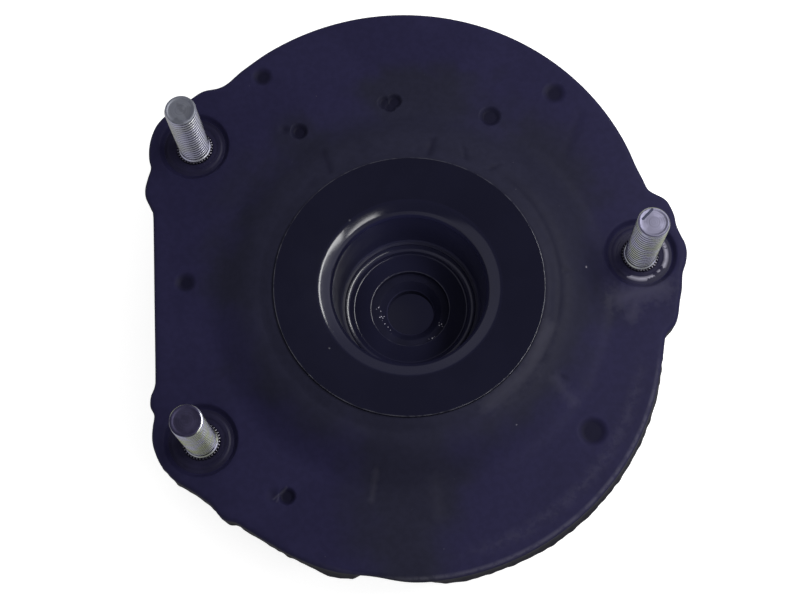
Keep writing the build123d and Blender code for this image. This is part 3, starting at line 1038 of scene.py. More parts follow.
@dataclass
class Stud:
    """A knurled stud with a rolled thread, standing in its recess.

    The rows of its foot are (radius, height, depth of the teeth), from the head up to the thread. The
    ridge of the thread and its flank are in half pitches.
    """

    name: str
    middle: Spot
    finish: Finish
    start: float = 0.0
    top: float = 42.4
    thread_foot: float = 20.1
    crest: float = 3.99
    root: float = 3.32
    pitch: float = 1.25
    point: float = 0.5
    ridge: float = 0.9
    flank: float = 0.56
    run_out: float = 0.8
    run_out_depth: float = 0.15
    teeth: int = 36
    columns: int = 144
    rows_per_turn: int = 10
    end_rings: int = 20
    foot: tuple[Corner, ...] = (
        (6.3, 13.6, 0.0), (6.8, 13.72, 0.0), (7.0, 14.05, 0.0), (7.0, 15.45, 0.0), (6.85, 15.7, 0.0),
        (6.5, 15.8, 0.0), (4.62, 15.8, 0.0), (4.2, 15.85, 0.4), (4.2, 19.0, 0.5), (4.25, 19.05, 0.6),
        (4.25, 19.3, 0.65), (4.25, 19.5, 0.5), (4.28, 19.6, 0.0), (4.25, 19.72, 0.0), (4.12, 19.84, 0.0),
        (3.95, 19.97, 0.0), (3.86, 20.05, 0.0),
    )

    def spot(self, radius: float, height: float, direction: float) -> Point:
        """A point round the stud's axis."""
        return spun(radius, height, direction, self.middle)

    def thread_radius(self, height: float, direction: float) -> float:
        """The radius of the thread, which runs out at its foot and is pointed at its end.

        Args:
            height: Height of the point.
            direction: Direction round the stud.

        Returns:
            Its distance from the stud's axis.
        """
        turns = ((height - self.thread_foot) / self.pitch - direction / TURN - self.start) % 1.0
        share = min(max((self.ridge - abs(turns - 0.5) * 2.0) / self.flank, 0.0), 1.0)
        radius = self.root + (self.crest - self.root) * share
        worn = float(smooth((height - self.thread_foot) / self.run_out))
        radius = self.crest - self.run_out_depth + (radius - self.crest + self.run_out_depth) * worn
        return min(radius, self.crest - self.point + (self.top - height))

    def end_level(self, ring: int, radius: float) -> float:
        """The height of the end face, hollowed inside its rim."""
        hollow = 0.16 * float(smooth((3.35 - radius) / 0.5)) - 0.05 * float(smooth((2.4 - radius) / 2.0))
        return min(self.top - 0.012 * math.sin(ring * 2.1) - hollow, self.top)

    def build(self) -> None:
        """Builds and dresses the stud."""
        shell = Shell()
        directions = even_turns(self.columns)
        half = self.columns // self.teeth / 2
        teeth = [1.0 - abs(i % (2 * half) - half) / half for i in range(self.columns)]
        rings = [shell.ring(self.spot(r + depth * tooth, z, d) for tooth, d in zip(teeth, directions))
                 for r, z, depth in self.foot]
        shell.skin(rings)
        shell.close(rings[0], self.spot(0.0, self.foot[0][1], 0.0))
        columns = self.thread(shell, directions)
        shell.skin([rings[-1], [column[0] for column in columns]])
        ends = [[column[-1] for column in columns]]
        for k in range(1, self.end_rings):
            r = (self.crest - self.point) * (1.0 - k / self.end_rings)
            ends.append(shell.ring(self.spot(r, self.end_level(k, r), d) for d in directions))
        shell.skin(ends)
        shell.close(ends[-1], self.spot(0.0, self.top - 0.1, 0.0))
        dress(shell.piece(self.name + "_surface", 50.0), Body.MOUNT, self.finish, self.name)

    def thread(self, shell: Shell, directions: list[float]) -> list[list[int]]:
        """Winds the thread, with rows that climb with the helix.

        Args:
            shell: Where the points go.
            directions: The directions of the columns.

        Returns:
            The points of each column, from the foot to the end.
        """
        per_turn = self.rows_per_turn
        last = int((self.top - self.thread_foot) / self.pitch * per_turn) + 2 * per_turn
        low = self.thread_foot - self.pitch
        columns = []
        for direction in directions:
            climb = self.pitch * direction / TURN
            levels = [low + k * self.pitch / per_turn + climb for k in range(last + 1)]
            held = [min(max(z, self.thread_foot), self.top) for z in levels]
            points = [self.spot(self.thread_radius(z, direction), z, direction) for z in held]
            columns.append(shell.ring(points))
        for i, column in enumerate(columns):
            other = columns[(i + 1) % len(columns)]
            ahead = per_turn if i == len(columns) - 1 else 0
            for k in range(last):
                a, b = min(k + ahead, last), min(k + 1 + ahead, last)
                shell.faces.append(tuple(dict.fromkeys((column[k], other[a], other[b], column[k + 1]))))
        return columns


@dataclass(frozen=True)
class Dent:
    """A small hollow in the rubber: its place, size, depth, the width of its edge and how much painted shade
    it gets.
    """

    x: float
    y: float
    radius: float
    depth: float
    edge: float = 0.8
    painted_shade: float = 1.0

    def sink(self, x: np.ndarray, y: np.ndarray) -> np.ndarray:
        """How far it lowers the surface at each place."""
        return self.depth * smooth((self.radius - np.hypot(x - self.x, y - self.y)) / self.edge)


@dataclass(frozen=True)
class Nick:
    """A narrow furrow that points at the rod axis, in a direction given in degrees."""

    direction: float
    inner: float
    outer: float
    width: float
    depth: float
    lean: float = 0.0

    def sink(self, x: np.ndarray, y: np.ndarray) -> np.ndarray:
        """How far it lowers the surface.

        Args:
            x: Places across.
            y: Places along.

        Returns:
            The drop at each place.
        """
        turn = math.radians(self.direction)
        out = x * math.cos(turn) + y * math.sin(turn)
        side = -x * math.sin(turn) + y * math.cos(turn) - self.lean * (out - self.inner)
        along = smooth((out - self.inner) / 1.4) * smooth((self.outer - out) / 2.0)
        return self.depth * along * np.exp(-(side / self.width) ** 2)


@dataclass
class RubberBody:
    """The moulded flange, its dome, the roll round the dish, the hub and the skirt inside the bearing.

    The levels of its side are (share of the bulges, height, share of the flash), downwards.
    """

    finish: Finish
    studs: tuple[Stud, ...]
    end_radius: float = 63.66
    far_end: Spot = (-1.1, 15.1)
    near_end: Spot = (-1.1, -8.1)
    edge: float = 1.3
    edge_steps: int = 6
    groove: float = 33.68
    lip: float = 27.25
    crown: float = 26.3
    crown_radius: float = 37.6
    dome_base: float = 49.4
    recess: float = 8.0
    recess_edge: float = 1.4
    recess_fall: float = 1.34
    recess_steps: int = 8
    recess_points: int = 96
    flash: float = 0.12
    flash_wave: float = 0.07
    spigot: float = 33.4
    spacing: float = 0.62
    lattice: float = 0.85
    pit_lattice: float = 0.24
    around: int = 720
    side_levels: tuple[Corner, ...] = (
        (0.0, 18.2, 0.0), (0.35, 16.4, 0.2), (0.7, 15.1, 0.8), (0.85, 14.6, 1.0), (1.0, 14.1, 0.75),
        (1.0, 13.75, 0.1),
    )
    left_side: tuple[Spot, ...] = (
        (-40.6, 65.0), (-44.2, 61.9), (-46.8, 60.6), (-51.0, 59.9), (-55.0, 57.4), (-58.4, 55.4),
        (-61.3, 53.3), (-63.4, 50.9), (-64.8, 47.6), (-65.4, 44.4), (-65.4, 41.4), (-65.0, 38.9),
        (-65.8, 36.2), (-66.5, 33.4), (-66.4, 30.8), (-65.3, 28.2), (-64.6, 26.2), (-64.5, 20.0),
        (-64.5, 2.0), (-64.5, -16.0), (-64.7, -19.6), (-65.7, -22.2), (-65.8, -24.8), (-64.9, -27.0),
        (-65.3, -29.8), (-65.5, -32.9), (-64.9, -36.0), (-63.1, -40.0), (-59.5, -43.9), (-55.2, -46.9),
        (-51.4, -50.1), (-49.8, -52.4), (-48.0, -54.0), (-45.6, -54.7), (-43.4, -56.2), (-39.6, -58.9),
        (-36.0, -61.3),
    )
    right_side: tuple[Spot, ...] = (
        (60.6, -24.0), (61.6, -20.6), (62.4, -17.2), (63.0, -15.2), (64.4, -13.8), (65.7, -12.6),
        (66.7, -10.2), (67.5, -6.8), (68.4, -3.6), (69.1, 0.4), (70.3, 3.4), (70.85, 5.9), (70.7, 8.5),
        (69.8, 11.0), (69.1, 13.5), (68.9, 16.1), (68.2, 18.6), (67.0, 20.8), (64.2, 22.7), (62.9, 24.0),
        (62.1, 26.4),
    )
    pits: tuple[Dent, ...] = (
        Dent(-35.0, 62.6, 3.1, 0.8, 2.1), Dent(-25.9, 46.2, 2.6, 1.1, 1.5),
        Dent(-29.6, 46.9, 2.1, 0.4, 2.1, 0.6), Dent(-3.0, 52.7, 2.2, 0.75, 1.2, 0.8),
        Dent(-0.6, 53.0, 2.3, 0.95, 1.2, 0.95), Dent(-1.8, 51.7, 2.1, 0.85, 1.2, 0.9),
        Dent(24.2, 46.8, 3.1, 0.9, 1.5, 0.9), Dent(41.5, 52.2, 3.4, 0.5, 2.1, 0.95),
        Dent(-56.4, 6.6, 3.1, 0.8, 2.1), Dent(-33.0, -49.3, 2.5, 1.2, 1.4),
        Dent(-36.0, -48.9, 2.5, 0.4, 2.5, 0.5), Dent(42.1, -38.5, 4.0, 0.6, 2.0, 0.9),
    )
    nicks: tuple[Nick, ...] = (
        Nick(120.4, 35.2, 45.0, 1.0, 0.22, -0.3), Nick(78.3, 33.9, 41.8, 1.0, 0.3, -0.1),
        Nick(62.5, 35.6, 41.0, 0.8, 0.16, 0.55), Nick(53.5, 35.6, 41.0, 0.7, 0.15, -0.45),
        Nick(128.4, 35.0, 39.0, 1.4, 0.12), Nick(38.0, 53.5, 68.0, 1.3, 0.1, 0.54),
        Nick(1.5, 37.6, 41.4, 0.6, 0.16, 0.05), Nick(-35.5, 42.5, 46.6, 0.6, 0.18, 0.15),
        Nick(-104.0, 45.0, 53.0, 1.2, 0.1), Nick(-142.0, 37.0, 43.0, 1.6, 0.08, 0.2),
        Nick(104.0, 37.0, 45.0, 1.6, 0.1),
    )

    def end_arc(self, middle: Spot, first: float, last: float) -> list[Spot]:
        """Points along a round end, every four degrees between two directions."""
        turns = np.radians(np.arange(first, last, 4.0)).tolist()
        return [spun(self.end_radius, 0.0, turn, middle)[:2] for turn in turns]

    def outline(self) -> np.ndarray:
        """The silhouette of the flange.

        Returns:
            Evenly spaced points, anticlockwise from the right.
        """
        arcs = self.end_arc(self.far_end, 14.0, 126.0), self.end_arc(self.near_end, 237.0, 342.0)
        controls = np.array([*arcs[0], *self.left_side, *arcs[1], *self.right_side])
        a, b, c, d = (np.roll(controls, -k, axis=0)[:, None] for k in (-1, 0, 1, 2))
        t = np.linspace(0.0, 1.0, 12, endpoint=False)[:, None]
        bend = (2 * a - 5 * b + 4 * c - d) * t ** 2 + (3 * b - a - 3 * c + d) * t ** 3
        line = (0.5 * (2 * b + (c - a) * t + bend)).reshape(-1, 2)
        closed = np.vstack([line, line[:1]])
        length = np.concatenate([[0.0], np.cumsum(np.hypot(*np.diff(closed, axis=0).T))])
        places = np.linspace(0.0, length[-1], int(length[-1] / self.spacing), endpoint=False)
        even = np.column_stack([np.interp(places, length, closed[:, k]) for k in (0, 1)])
        even[:, 1] += np.exp(-((even[:, 0] + 13.5) / 6.5) ** 2) * smooth((-even[:, 1] - 50.0) / 8.0)
        return even

    def dome_line(self) -> tuple[np.ndarray, np.ndarray]:
        """Radii and heights of the dome, from the groove at the dish out to the flange.

        Returns:
            The radii and the heights.
        """
        radii = np.arange(self.groove, self.dome_base + 2.2, 0.24)
        fall = smooth((radii - self.crown_radius) / (self.dome_base + 2.0 - self.crown_radius))
        rise = smooth((self.crown_radius - radii) / (self.crown_radius - self.groove))
        return radii, self.crown - (self.crown - FLANGE_TOP) * fall + (self.lip - self.crown) * rise

    def height(self, x: np.ndarray, y: np.ndarray) -> np.ndarray:
        """The height of the upper surface, with its ripples, the low pad at the far end, pits and nicks.

        Args:
            x: Places across.
            y: Places along.

        Returns:
            The height at each place.
        """
        radius, turn = np.hypot(x, y), np.arctan2(y, x)
        z = np.interp(radius, *self.dome_line(), right=FLANGE_TOP)
        on_dome = smooth((radius - 34.2) / 2.0) * smooth((54.0 - radius) / 6.0)
        ripple = np.sin(9.0 * turn + 1.1 * np.sin(3.0 * turn) + radius * 0.35) * 0.05
        ripple += np.sin(23.0 * turn + radius * 0.8) * 0.025 + np.sin(5.0 * turn - 0.9) * 0.06
        z = z + ripple * on_dome
        z = z + 0.025 * np.sin(x * 0.21 + 0.8 * np.sin(y * 0.13)) * np.sin(y * 0.17 + 0.4) * (1.0 - on_dome)
        pad = smooth((turn - math.radians(83.0)) / 0.06) * smooth((math.radians(106.0) - turn) / 0.08)
        z = z + 0.2 * pad * smooth((radius - 34.6) / 1.0) * smooth((38.8 - radius) / 1.6)
        z = z - np.max([pit.sink(x, y) for pit in self.pits], axis=0)
        for nick in self.nicks:
            z = z - nick.sink(x, y)
        return np.maximum(z, PLATE_TOP + 0.08)

    def grid(self, step: float, low: Spot, high: Spot) -> np.ndarray:
        """Points in even triangles over a rectangle.

        Args:
            step: How far apart they lie.
            low: One corner of the rectangle.
            high: The opposite corner.

        Returns:
            The points.
        """
        ys = np.arange(low[1], high[1], step * math.sqrt(0.75))
        across, along = np.meshgrid(np.arange(low[0], high[0], step), ys)
        across = across + (np.arange(len(ys)) % 2)[:, None] * step / 2.0
        return np.column_stack([across.ravel(), along.ravel()])

    def filling(self, outer: np.ndarray) -> np.ndarray:
        """Points inside the flange, closer together at the pits.

        Args:
            outer: The loop round the flat.

        Returns:
            The points.
        """
        points = self.grid(self.lattice, (-68.0, -73.0), (72.0, 80.0))
        patches = []
        for i, pit in enumerate(self.pits):
            points = points[away(points, pit.x, pit.y) > pit.radius + 0.8]
            reach = pit.radius + 0.7
            low, high = (pit.x - reach, pit.y - reach), (pit.x + reach, pit.y + reach)
            patch = self.grid(self.pit_lattice, low, high)
            patch = patch[away(patch, pit.x, pit.y) < reach]
            for other in self.pits[:i]:
                patch = patch[away(patch, other.x, other.y) > other.radius + 0.7]
            patches.append(patch)
        points = np.vstack([points, *patches])
        points = points[self.inside(outer, points)]
        points = points[away(points) > self.dome_base + 0.3]
        for stud in self.studs:
            points = points[away(points, *stud.middle) > self.recess + self.recess_edge + 0.35]
        clear = np.ones(len(points), bool)
        for corner in outer:
            clear &= away(points, *corner) > 0.45
        return points[clear]

    def inside(self, loop: np.ndarray, points: np.ndarray) -> np.ndarray:
        """Tells which points lie inside a loop.

        Args:
            loop: The loop.
            points: The points.

        Returns:
            True for each point inside.
        """
        within = np.zeros(len(points), bool)
        x, y = points[:, 0], points[:, 1]
        for (x0, y0), (x1, y1) in zip(loop, np.roll(loop, -1, axis=0)):
            if y0 != y1:
                within ^= ((y0 > y) != (y1 > y)) & (x < (x1 - x0) * (y - y0) / (y1 - y0) + x0)
        return within

    def sheet(self, shell: Shell, outer: list[int], holes: list[list[int]], filling: list[int]) -> None:
        """Fills the space between loops with triangles.

        Args:
            shell: Holds the points.
            outer: The loop round the sheet.
            holes: The loops that it leaves open.
            filling: Points inside it.
        """
        numbers = [*outer, *(n for hole in holes for n in hole), *filling]
        edges: list[tuple[int, int]] = []
        for loop in (outer, *holes):
            start, count = len(edges), len(loop)
            edges += [(start + i, start + (i + 1) % count) for i in range(count)]
        flat = [Vector(shell.points[n][:2]) for n in numbers]
        _, _, faces, sources, _, _ = delaunay_2d_cdt(flat, edges, [], 0, 1e-5, True)
        triangles = [tuple(numbers[sources[i][0]] for i in face) for face in faces]
        middles = np.array([shell.flat(triangle).mean(axis=0) for triangle in triangles])
        keep = self.inside(shell.flat(outer), middles)
        for hole in holes:
            keep &= ~self.inside(shell.flat(hole), middles)
        shell.faces.extend(triangle for triangle, kept in zip(triangles, keep) if kept)

    def circle(self, radius: float, count: int, x: float = 0.0, y: float = 0.0) -> np.ndarray:
        """Points round a circle."""
        turns = TURN * np.arange(count) / count
        return np.column_stack([x + radius * np.cos(turns), y + radius * np.sin(turns)])

    def lay(self, shell: Shell, flat: np.ndarray, level: float | None = None) -> list[int]:
        """Adds points at a level, or on the upper surface."""
        heights = self.height(flat[:, 0], flat[:, 1]) if level is None else np.full(len(flat), level)
        return shell.ring((float(x), float(y), float(z)) for (x, y), z in zip(flat, heights))

    def side_rows(self, shell: Shell, line: np.ndarray, outward: np.ndarray) -> list[list[int]]:
        """Adds the side of the flange below its rounded edge, with its flash and the tuck at the near end.

        Args:
            shell: Where it goes.
            line: The silhouette.
            outward: The outward direction at each of its points.

        Returns:
            The rings of the side, downwards.
        """
        random = np.random.default_rng(11)
        along = np.arange(len(line)) * 2.0 * math.pi / len(line)
        wave = np.zeros(len(line))
        for turns in (41, 67, 83, 109, 140, 167):
            wave += np.sin(turns * along + random.uniform(0.0, 6.28)) * random.uniform(0.5, 1.0)
        x, y = line[:, 0], line[:, 1]
        wave = self.flash_wave * wave * (1.0 - 0.7 * smooth((y - 72.0) / 5.0))
        near = smooth((-y - 30.0) / 20.0)
        tuck = 1.9 * smooth((x + 19.0) / 6.0) * smooth((5.0 - x) / 12.0) * near
        bulge = 0.75 * np.exp(-((x + 22.5) / 5.0) ** 2) * near
        right = 0.85 * smooth((x - 6.0) / 26.0) * smooth((-14.0 - y) / 12.0)
        right = right + 0.45 * np.exp(-((x - 9.0) / 7.0) ** 2) * near
        rings = []
        for share, level, flash in self.side_levels:
            out = flash * (wave + self.flash) + share * (bulge + right - tuck)
            rings.append(self.lay(shell, line + outward * out[:, None], level))
        return rings

    def recess_walls(self, shell: Shell, stud: Stud) -> tuple[list[int], list[int]]:
        """Builds the wall of a stud's recess, through to the underside.

        Args:
            shell: Where it goes.
            stud: The stud that stands in it.

        Returns:
            The loops at its upper and lower end.
        """
        rows: list[tuple[float, float | None]] = [(self.recess + self.recess_edge, None)]
        for k in range(1, self.recess_steps + 1):
            radius = self.recess + self.recess_edge * (1.0 - k / self.recess_steps)
            rows.append((radius, FLANGE_TOP - self.recess_fall * float(smooth(k / self.recess_steps))))
        rows += [(self.recess, 16.6), (self.recess, 14.0), (self.recess + 0.35, FLANGE_BOTTOM)]
        loops = [self.lay(shell, self.circle(radius, self.recess_points, *stud.middle), level)
                 for radius, level in rows]
        shell.skin(loops)
        return loops[0], loops[-1]

    def inner_rows(self) -> list[Spot]:
        """The inner wall, from the groove at the dish, inside and round the hub, to the spigot's root.

        Returns:
            The points, as (radius, height).
        """
        return soften([
            (self.groove, self.lip, 0.0), (33.66, 25.94, 0.0), (23.2, 23.6, 0.0), (22.3, 22.4, 0.0),
            (21.45, 8.6, 0.0), (21.45, 7.06, 0.0), (24.06, 7.06, 0.0), (24.06, 4.94, 0.0), (13.1, 4.94, 0.0),
            (13.1, 3.5, 0.4), (24.8, 3.5, 0.8), (25.6, 9.5, 0.5), (28.0, 9.5, 0.5), (28.0, 6.5, 0.5),
            (self.spigot, 6.5, 0.5), (self.spigot, FLANGE_BOTTOM, 0.0),
        ], closed=False, steps=4)

    def build(self) -> None:
        """Builds and dresses the rubber as one closed surface."""
        shell = Shell()
        line = self.outline()
        run = np.roll(line, -1, axis=0) - np.roll(line, 1, axis=0)
        outward = np.column_stack([run[:, 1], -run[:, 0]]) / np.hypot(run[:, 0], run[:, 1])[:, None]
        rings = [self.lay(shell, line - outward * self.edge)]
        for k in range(1, self.edge_steps + 1):
            turn = math.pi / 2.0 * k / self.edge_steps
            flat = line - outward * self.edge * (1.0 - math.sin(turn))
            rings.append(self.lay(shell, flat, FLANGE_TOP - self.edge * (1.0 - math.cos(turn))))
        rings += self.side_rows(shell, line, outward)
        rings.append(self.lay(shell, shell.flat(rings[-1]) - outward * 0.5, FLANGE_BOTTOM))
        shell.skin(rings)
        recesses = [self.recess_walls(shell, stud) for stud in self.studs]
        fine = np.round([*self.dome_line()[0], *np.arange(34.2, self.dome_base, 0.45)], 3)
        radii = [self.dome_base, *(r for r in sorted(set(fine), reverse=True) if r < self.dome_base - 0.1)]
        inner = [(r, None) for r in radii] + self.inner_rows()[1:]
        dome = [self.lay(shell, self.circle(r, self.around), level) for r, level in inner]
        shell.skin(dome)
        filling = self.lay(shell, self.filling(shell.flat(rings[0])))
        self.sheet(shell, rings[0], [dome[0], *(top for top, _ in recesses)], filling)
        self.sheet(shell, rings[-1], [dome[-1], *(low for _, low in recesses)], [])
        piece = shell.piece("rubber_body_surface", 60.0)
        self.mark_painted_shade(piece.data, line)
        dress(piece, Body.MOUNT, self.finish, "rubber_body")

    def mark_painted_shade(self, mesh: bpy.types.Mesh, line: np.ndarray) -> None:
        """Marks where the finish paints shade: in the pits and the nicks, round the recesses and on the side
        of the flange.

        Args:
            mesh: The rubber's mesh.
            line: The silhouette of the flange.
        """
        flat = np.empty(len(mesh.vertices) * 3)
        mesh.vertices.foreach_get("co", flat)
        points = flat.reshape(-1, 3) / MM
        x, y, z = points.T
        # Painted shade: how much each point is darkened in the pits, the nicks and round the recesses.
        sunk = np.zeros(len(x))
        for pit in self.pits:
            sunk = np.maximum(sunk, pit.painted_shade * pit.sink(x, y) / pit.depth)
        for nick in self.nicks:
            sunk = np.maximum(sunk, min(2.0 * nick.depth, 0.5) * nick.sink(x, y) / nick.depth)
        for stud in self.studs:
            sunk = np.maximum(sunk, 0.12 * smooth((self.recess + 1.6 - away(points, *stud.middle)) / 1.6))
        sunk[z < 17.0] = 0.0
        # Painted shade on the side wall: how far each point lies down the side.
        side_top = FLANGE_TOP - 0.9
        side = np.zeros(len(x))
        for n in np.flatnonzero((z < side_top) & (z > FLANGE_BOTTOM - 0.1) & (away(points) > 52.0)):
            side[n] = (away(line, x[n], y[n]).min() < 2.4) * smooth((side_top - z[n]) / 0.8)
        for name, values in (("hollow", np.clip(sunk, 0.0, 1.0)), ("side", side)):
            layer = mesh.attributes.new(name, "FLOAT", "POINT")
            layer.data.foreach_set("value", values.astype(np.float32))


@dataclass
class StudBoss:
    """The bare ring of the carrier plate round a stud, with its rounded edges."""

    stud: Stud
    finish: Finish
    around: int = 96
    outline: tuple[Corner, ...] = (
        (4.7, 18.1, 0.0), (7.99, 18.1, 0.0), (7.99, 19.08, 0.05), (7.3, 19.08, 0.6), (6.8, 19.3, 0.4),
        (6.2, 19.3, 0.4), (5.7, 19.08, 0.5), (4.7, 19.08, 0.1),
    )

    def build(self) -> None:
        """Builds and dresses the ring over the plate's own."""
        shell = Shell()
        turns = even_turns(self.around)
        rings = [shell.ring(self.stud.spot(r, z, turn) for turn in turns) for r, z in soften(self.outline)]
        shell.skin(rings, closed=True)
        dress(shell.piece(self.stud.name + "_boss"), Body.MOUNT, self.finish)


@dataclass(frozen=True)
class KeptNode:
    """A node whose own shape stays and only gets a finish."""

    name: str
    finish: Finish

    def dress(self) -> None:
        """Gives the node its finish."""
        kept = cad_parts[self.name]
        if not kept.material_slots:
            kept.data.materials.append(self.finish.material())
        for place in kept.material_slots:
            place.material = self.finish.material()


@dataclass
class Mount:
    """The upper half: rubber, carrier plate, studs, dish, rod seat and sleeve."""

    rubber: Finish = RubberFinish("Rubber")
    # The dish's well gets painted light and its bend a painted sheen band.
    paint: Finish = PaintFinish(
        "Black coat", well_painted_light=hue(32, 32, 56), deep_roughness=0.47, bend=WearAndSheen(21.4, 25.0, 2.2, 1.0),
        edges=(WearAndSheen(33.6, 28.0, 0.3, 0.05, 0.42), WearAndSheen(17.55, 9.2, 0.12, 0.2, 0.15)))
    # The rod plate lies deep in the well, so all of it gets the painted light.
    seat_paint: Finish = PaintFinish("Rod plate coat", edges=(
        WearAndSheen(10.0, 7.0, 0.3, 0.2, 0.3), WearAndSheen(16.85, 9.1, 0.12, 0.2, 0.12)))
    # The wall of the bore gets painted light.
    sleeve_coat: Finish = CoatedFinish(
        "Sleeve coat", colour=hue(28, 28, 48), roughness=0.6, gloss=0.1, bore_light_levels=(0.2, 3.0), chips=(
            SoftLine((-8.3, 1.6), (-5.8, -6.2), 1.2, ragged=1.0),
            SoftLine((8.6, -4.0), (4.9, -8.0), 1.7, ragged=1.0)))
    plate_coat: Finish = CoatedFinish("Carrier coat", colour=hue(32, 30, 52), roughness=0.42, gloss=0.15)
    # A painted highlight along the lit side of the right stud's boss edge.
    lit_edge_coat: Finish = CoatedFinish(
        "Carrier coat lit edge", colour=hue(35, 33, 56), gloss=0.15, edge_highlight=EdgeHighlight(
            (RIGHT_STUD_X, 6.4), WearAndSheen(6.6, 19.2, 0.75, 0.8), SoftLine((-1.6, -6.6), (6.6, 0.0), 3.2, 0.4, 1.0)))
    dish: tuple[Corner, ...] = (
        (33.6, 28.0, 0.25), (22.5, 25.6, 3.8), (19.3, 23.9, 2.5), (18.35, 12.6, 3.0), (18.0, 9.7, 0.6),
        (17.6, 9.3, 0.12), (17.5, 9.05, 0.1), (16.95, 9.0, 0.2), (16.95, 7.0, 0.25), (21.29, 7.0, 4.4),
        (22.21, 23.47, 1.2), (33.6, 26.0, 0.4),
    )
    rod_seat: tuple[Corner, ...] = (
        (10.0, 7.0, 0.45), (14.9, 7.0, 0.8), (15.15, 8.2, 0.3), (15.9, 8.84, 2.0), (16.75, 9.1, 0.4),
        (16.9, 9.0, 0.08), (16.9, 7.0, 0.0), (24.0, 7.0, 0.0), (24.0, 5.0, 0.2), (10.0, 5.0, 0.25),
    )
    rod_sleeve: tuple[Corner, ...] = (
        (6.1, 0.0, 0.2), (6.1, 3.0, 0.15), (8.1, 5.0, 0.15), (12.5, 5.0, 0.2), (12.5, 0.0, 0.3),
    )

    def studs(self) -> tuple[Stud, ...]:
        """The three studs, each with its own run of the thread and its own end face.

        Returns:
            The studs.
        """
        upper, right, lower = (LEFT_STUDS_X, 44.0), (RIGHT_STUD_X, 6.4), (LEFT_STUDS_X, -34.2)
        mark = SoftLine((56.5, 7.4), (58.9, 9.6), 0.4, ragged=0.15)
        return (
            Stud("stud_upper_left", upper, StudFinish(
                "Plated steel upper left", upper, tint=hue(208, 209, 204), root_shade_radii=(3.8, 3.3)),
                start=0.1, root=3.56, point=0.34),
            Stud("stud_right", right, StudFinish(
                "Plated steel right", right, tint=hue(206, 211, 184), root_shade_radii=(3.8, 3.35),
                end=hue(148, 146, 166), mark=mark),
                start=0.4, root=3.52),
            Stud("stud_lower_left", lower, StudFinish(
                "Plated steel lower left", lower, tint=hue(206, 212, 172), end=hue(86, 82, 108)),
                start=0.7, point=0.42),
        )

    def build(self) -> None:
        """Builds every piece of the upper half."""
        studs = self.studs()
        RubberBody(self.rubber, studs).build()
        for stud in studs:
            stud.build()
            StudBoss(stud, self.lit_edge_coat if stud.name == "stud_right" else self.plate_coat).build()
        Dish("rebound_dish", Body.MOUNT, "black_paint", self.paint, self.dish, around=360).build()
        Turned("rod_seat", Body.MOUNT, "black_paint", self.seat_paint, self.rod_seat).build()
        Turned("rod_sleeve", Body.MOUNT, "sleeve_steel", self.sleeve_coat, self.rod_sleeve).build()
        KeptNode("carrier_plate", self.plate_coat).dress()


